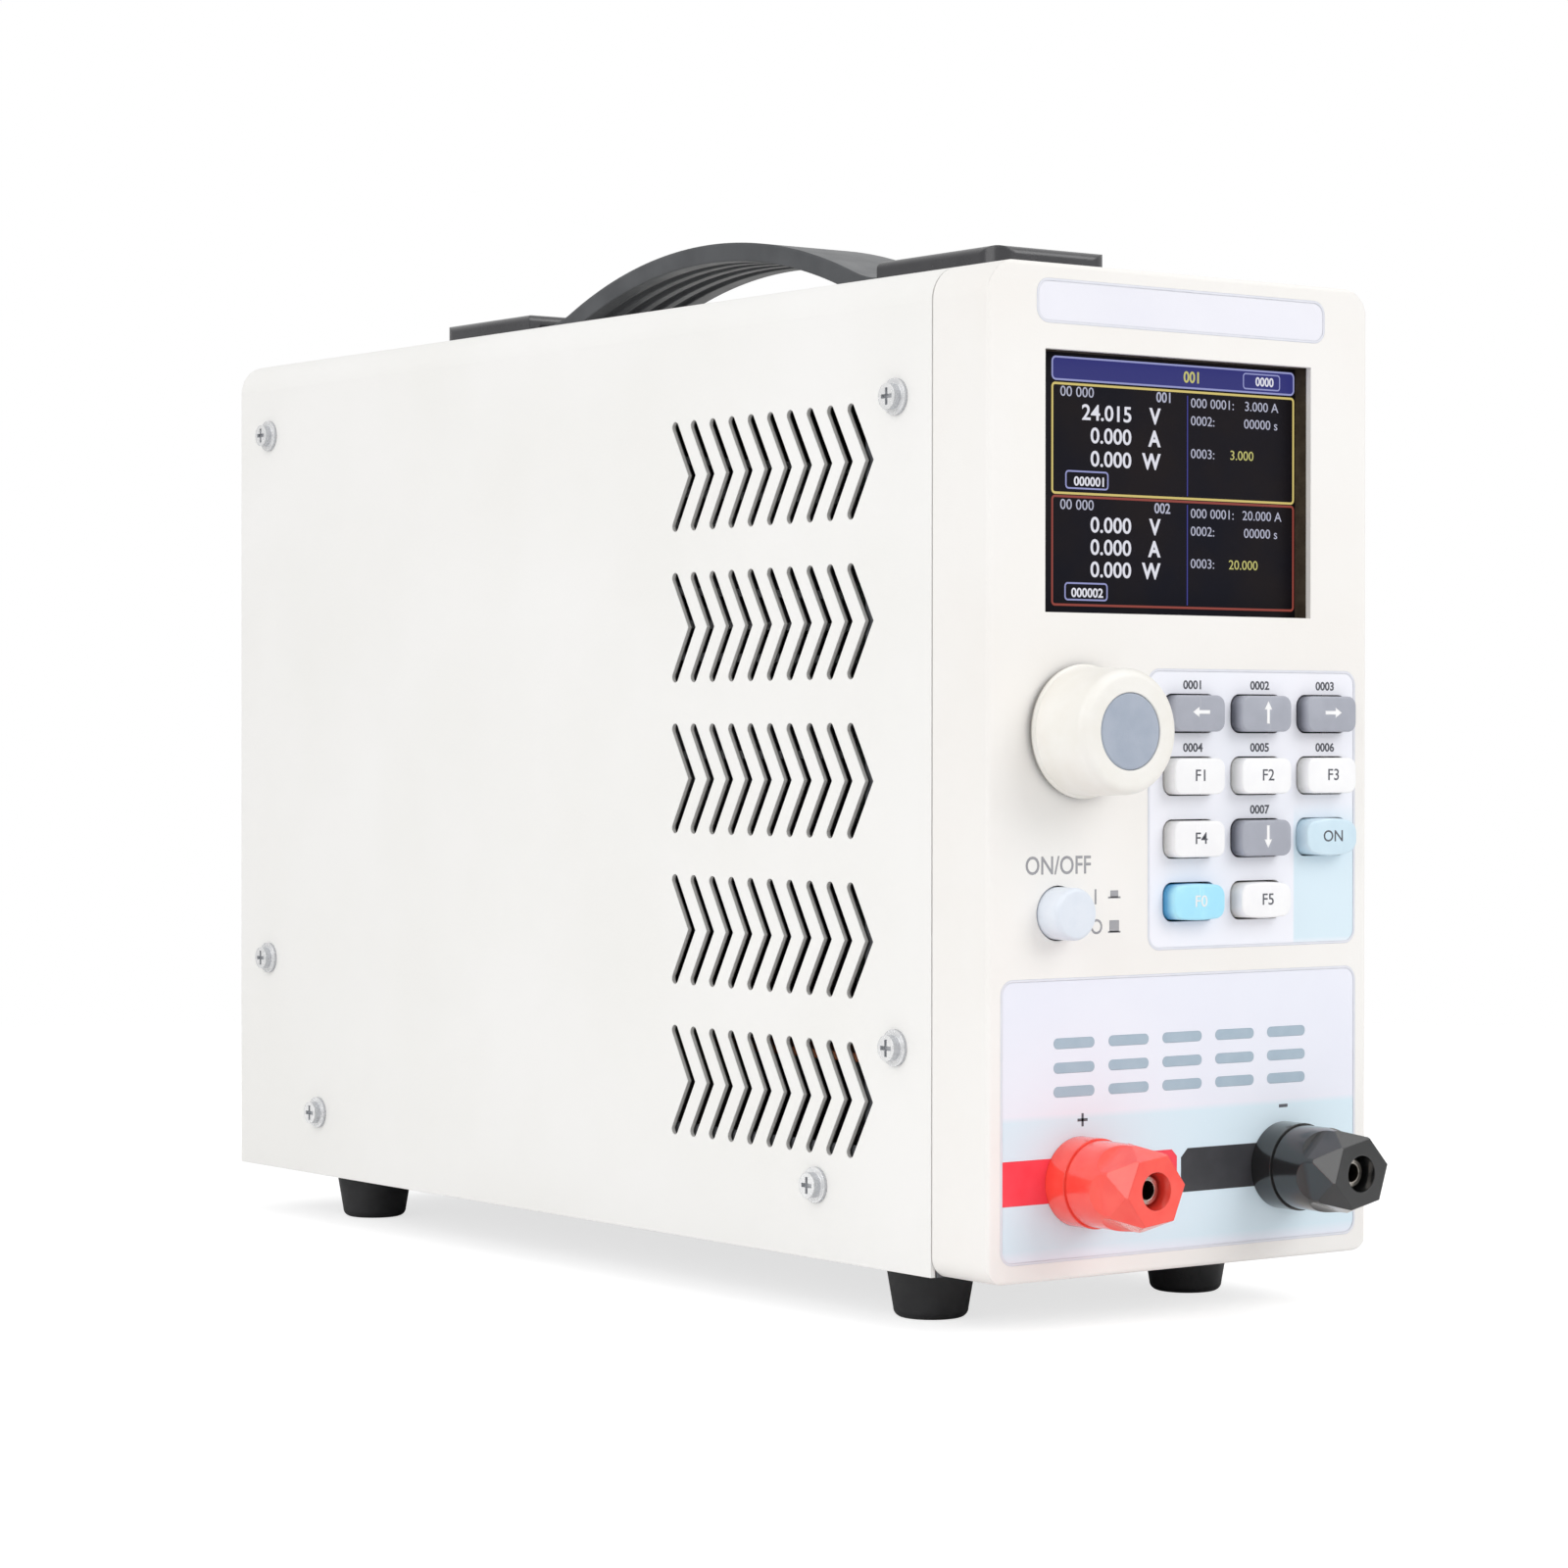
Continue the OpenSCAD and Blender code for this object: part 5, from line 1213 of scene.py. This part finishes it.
@dataclass
class PowerButton:
    """The round power button and the signs beside it."""

    x: float = -35.8
    z: float = 78.0
    bore_r: float = 2.1
    radius: float = 5.6
    rise: float = 6.4
    tail: float = 5.5
    rounding: float = 1.0
    corner_steps: int = 8
    crown: float = 0.08
    facets: int = 64
    word: Lettering = Lettering(4.0, 0.92, 0.01)
    word_shift: float = 0.1
    word_z: float = 88.35
    sign_x: float = -25.0
    stroke: Pair = (0.5, 3.2)
    stroke_shift: Pair = (-0.3, -0.5)
    ring_size: float = 3.2
    ring_r: float = 1.55
    ring_line: float = 0.5
    ring_steps: int = 10
    picture_x: float = -20.0
    base: Pair = (3.5, 0.4)
    in_z: float = 81.8
    in_block: Pair = (0.63, 1.5)
    out_z: float = 74.9
    out_block: Pair = (0.77, 2.5)

    def build(self) -> None:
        """Makes the button and its print."""
        profile = [(self.bore_r, self.tail), (self.radius, self.tail)]
        profile += corner(self.radius, -self.rise, self.rounding, 0.0, self.corner_steps)
        profile.append((0.0, -self.rise - self.crown))
        cap = Form().lathe(profile, self.facets).move(self.x, 0.0, self.z)
        cap.publish("power_cap", BUTTON, "power_button", ["power_button"])
        self.build_signs()

    def build_signs(self) -> None:
        """Prints the word, the line and ring, and the two small pictures."""
        signs = laid(Form().words("ON/OFF", self.word), self.x + self.word_shift, self.word_z)
        across, up = self.stroke_shift
        signs.add(laid(Form().sheet(*self.stroke), self.sign_x + across, self.in_z + up))
        ring = frame_ring(self.ring_size, self.ring_size, self.ring_r, self.ring_line, self.ring_steps)
        signs.add(laid(ring, self.sign_x, self.out_z))
        width, thick = self.base
        for z, (share, height) in ((self.in_z, self.in_block), (self.out_z, self.out_block)):
            signs.add(laid(Form().sheet(width, thick), self.picture_x, z - height / 2))
            signs.add(laid(Form().sheet(width * share, height), self.picture_x, z))
        signs.publish("power_signs", INK_SIGN)


@dataclass(frozen=True)
class Lamp:
    """A soft square light: its name, its place and side in metres, and its power."""

    name: str
    place: Triple
    size: float
    watts: float


@dataclass
class Studio:
    """Floor, lights, world and camera of the photograph's view."""

    fill: float = 0.715
    dim: float = 0.3
    bright: Pair = (-0.15, 0.75)
    floor_r: float = 0.9
    floor_sides: int = 96
    floor_fade: Pair = (0.55, 0.98)
    floor_tone: float = 0.89
    floor_lift: float = 0.42
    floor_glow: float = 0.3
    speckle: float = 0.01
    speckle_mm: float = 400.0
    lamps: tuple[Lamp, ...] = (
        Lamp("key", (0.9, -1.6, 1.3), 1.4, 15.4),
        Lamp("side", (-1.7, -0.3, 1.0), 1.4, 11.6),
    )
    aim: Triple = (0.0, 0.0, 0.12)
    eye: Triple = (-603.065, -670.443, 115.0)
    right: Triple = (0.804496, -0.593957, 0.000891)
    up: Triple = (0.002796, 0.005288, 0.999982)
    ahead: Triple = (0.593952, 0.804479, -0.005915)
    focal_px: float = 4214.58
    centre_px: Pair = (800.0, 778.8)
    image_px: float = 1600.0
    sensor: float = 36.0
    near: float = 0.05

    def build_world(self) -> None:
        """Makes a white surround that lights the object softly."""
        world = bpy.data.worlds.new("surround")
        bpy.context.scene.world = world
        tree = ShaderTree(world)
        seen = tree.node("ShaderNodeLightPath", output="Is Camera Ray")
        seen = seen.larger(tree.node("ShaderNodeLightPath", output="Is Transmission Ray"))
        mirrored = tree.node("ShaderNodeLightPath", output="Is Glossy Ray")
        aim = tree.node("ShaderNodeTexCoord", output="Generated")
        height = tree.node("ShaderNodeSeparateXYZ", None, {0: aim}, 2)
        gloss = height.ramp(*self.bright) * (1.0 - self.dim) + self.dim
        strength = seen * (1.0 - self.fill) + mirrored * (gloss - self.fill) + self.fill
        surround = tree.node("ShaderNodeBackground", None, {"Color": WHITE, "Strength": strength})
        tree.node("ShaderNodeOutputWorld", None, {0: surround})

    def build_floor(self) -> None:
        """Makes the pale floor."""
        bm = bmesh.new()
        bmesh.ops.create_circle(bm, cap_ends=True, segments=self.floor_sides, radius=self.floor_r)
        mesh = bpy.data.meshes.new("floor")
        bm.to_mesh(mesh)
        bm.free()
        material = bpy.data.materials.new("floor_white")
        tree = ShaderTree(material)
        seen = tree.node("ShaderNodeLightPath", output="Is Camera Ray")
        speckle = tree.noise(self.speckle_mm, 1.0) * self.speckle
        grey = speckle + self.floor_tone - seen * self.floor_lift
        tone = tree.node("ShaderNodeCombineColor", None, {0: grey, 1: grey, 2: grey})
        matt = tree.node("ShaderNodeBsdfDiffuse", None, {"Color": tone})
        lit = seen * (self.floor_lift + self.floor_glow)
        glow = tree.node("ShaderNodeEmission", None, {"Strength": lit})
        both = tree.node("ShaderNodeAddShader", None, {0: matt, 1: glow})
        far = tree.node("ShaderNodeVectorMath", {"operation": "LENGTH"}, {0: tree.coords()}, "Value")
        clear = tree.node("ShaderNodeBsdfTransparent")
        faded = far.ramp(*(self.floor_r * share for share in self.floor_fade))
        shown = tree.node("ShaderNodeMixShader", None, {0: faded, 1: both, 2: clear})
        tree.node("ShaderNodeOutputMaterial", None, {0: shown})
        mesh.materials.append(material)
        floor = bpy.data.objects.new("floor", mesh)
        bpy.context.scene.collection.objects.link(floor)

    def add_light(self, lamp: Lamp) -> None:
        """Adds a light aimed at the object.

        Args:
            lamp: The light.
        """
        light = bpy.data.lights.new(lamp.name, "AREA")
        light.size = lamp.size
        light.energy = lamp.watts
        holder = bpy.data.objects.new(lamp.name, light)
        holder.location = lamp.place
        aim = Vector(self.aim) - holder.location
        holder.rotation_mode = "QUATERNION"
        holder.rotation_quaternion = aim.to_track_quat("-Z", "Y")
        bpy.context.scene.collection.objects.link(holder)

    def build_camera(self) -> None:
        """Sets the camera at the photograph's place."""
        lens = bpy.data.cameras.new("camera")
        lens.sensor_width = self.sensor
        lens.lens = self.focal_px / self.image_px * self.sensor
        lens.shift_x = (self.image_px / 2 - self.centre_px[0]) / self.image_px
        lens.shift_y = (self.centre_px[1] - self.image_px / 2) / self.image_px
        lens.clip_start = self.near
        camera = bpy.data.objects.new("camera", lens)
        axes = Matrix((self.right, self.up, [-a for a in self.ahead])).transposed().to_4x4()
        camera.matrix_world = Matrix.Translation(TO_PART @ Vector(self.eye)) @ axes
        bpy.context.scene.collection.objects.link(camera)
        bpy.context.scene.camera = camera

    def build(self) -> None:
        """Makes all of it."""
        bpy.context.scene.view_settings.view_transform = "Standard"
        self.build_world()
        self.build_floor()
        for lamp in self.lamps:
            self.add_light(lamp)
        self.build_camera()


@dataclass
class BindingPosts:
    """The finish of the two posts, and the collar that closes the seam at each cap."""

    x: float = 29.6
    z: float = 20.7
    base_len: float = 6.0
    seam: float = 0.26
    inner_r: float = 7.2
    outer_r: float = 9.15
    facets: int = 64

    def build(self) -> None:
        """Dresses the posts and makes the collars."""
        for side, label, surface in ((-1, "red", RED), (1, "black", JET)):
            dress(surface, label + "_post_base", label + "_post_cap")
            dress(NICKEL, label + "_post_stud", label + "_post_washer")
            front = -self.base_len - self.seam
            ring = [(self.inner_r, -self.base_len), (self.outer_r, -self.base_len), (self.outer_r, front),
                    (self.inner_r, front)]
            collar = Form().lathe(ring + ring[:1], self.facets)
            collar.move(side * self.x, 0.0, self.z).publish(label + "_post_collar", surface)


@dataclass
class CaseShell:
    """The cover, the bezel, the sheets inside and the fasteners."""

    def build(self) -> None:
        """Dresses the case."""
        dress(COVER, "top_cover")
        dress(PAINT, "rear_panel")
        dress(BEZEL, "front_bezel")
        dress(STEEL_AND_SHADE, "chassis_tray", "front_frame")
        dress(HEAD, "cover_screws")
        dress(SCREW, "small_screws", "large_screws", "post_hardware", "fan_guard", "serial_port")
        dress(FOOT, "foot_front_left", "foot_front_right", "foot_rear_left", "foot_rear_right")
        dress(STRAP, "handle_strap")
        dress(CAP, "handle_cap_front", "handle_cap_rear")
        dress(BOARD, "front_board", "power_board")
        dress(BLACK, "key_switches", "power_switch", "transistors", "fan_frame", "fan_rotor", "mains_inlet",
              "fuse_drawer")
        dress(NICKEL, "inlet_blades")
        dress(COPPER, "copper_bars")
        dress(ALLOY, "heat_sink")
        dress(CORE, "transformer")


def main() -> None:
    """Builds every sub-assembly in order."""
    logging.basicConfig(level=logging.INFO)
    Studio().build()
    for part in (CaseShell(), TitleStrip(), Display(), Keypad(), Knob(), PowerButton(), InputPanel(),
                 BindingPosts()):
        part.build()
        LOG.info("%s is done", type(part).__name__)


if __name__ == "__main__":
    main()
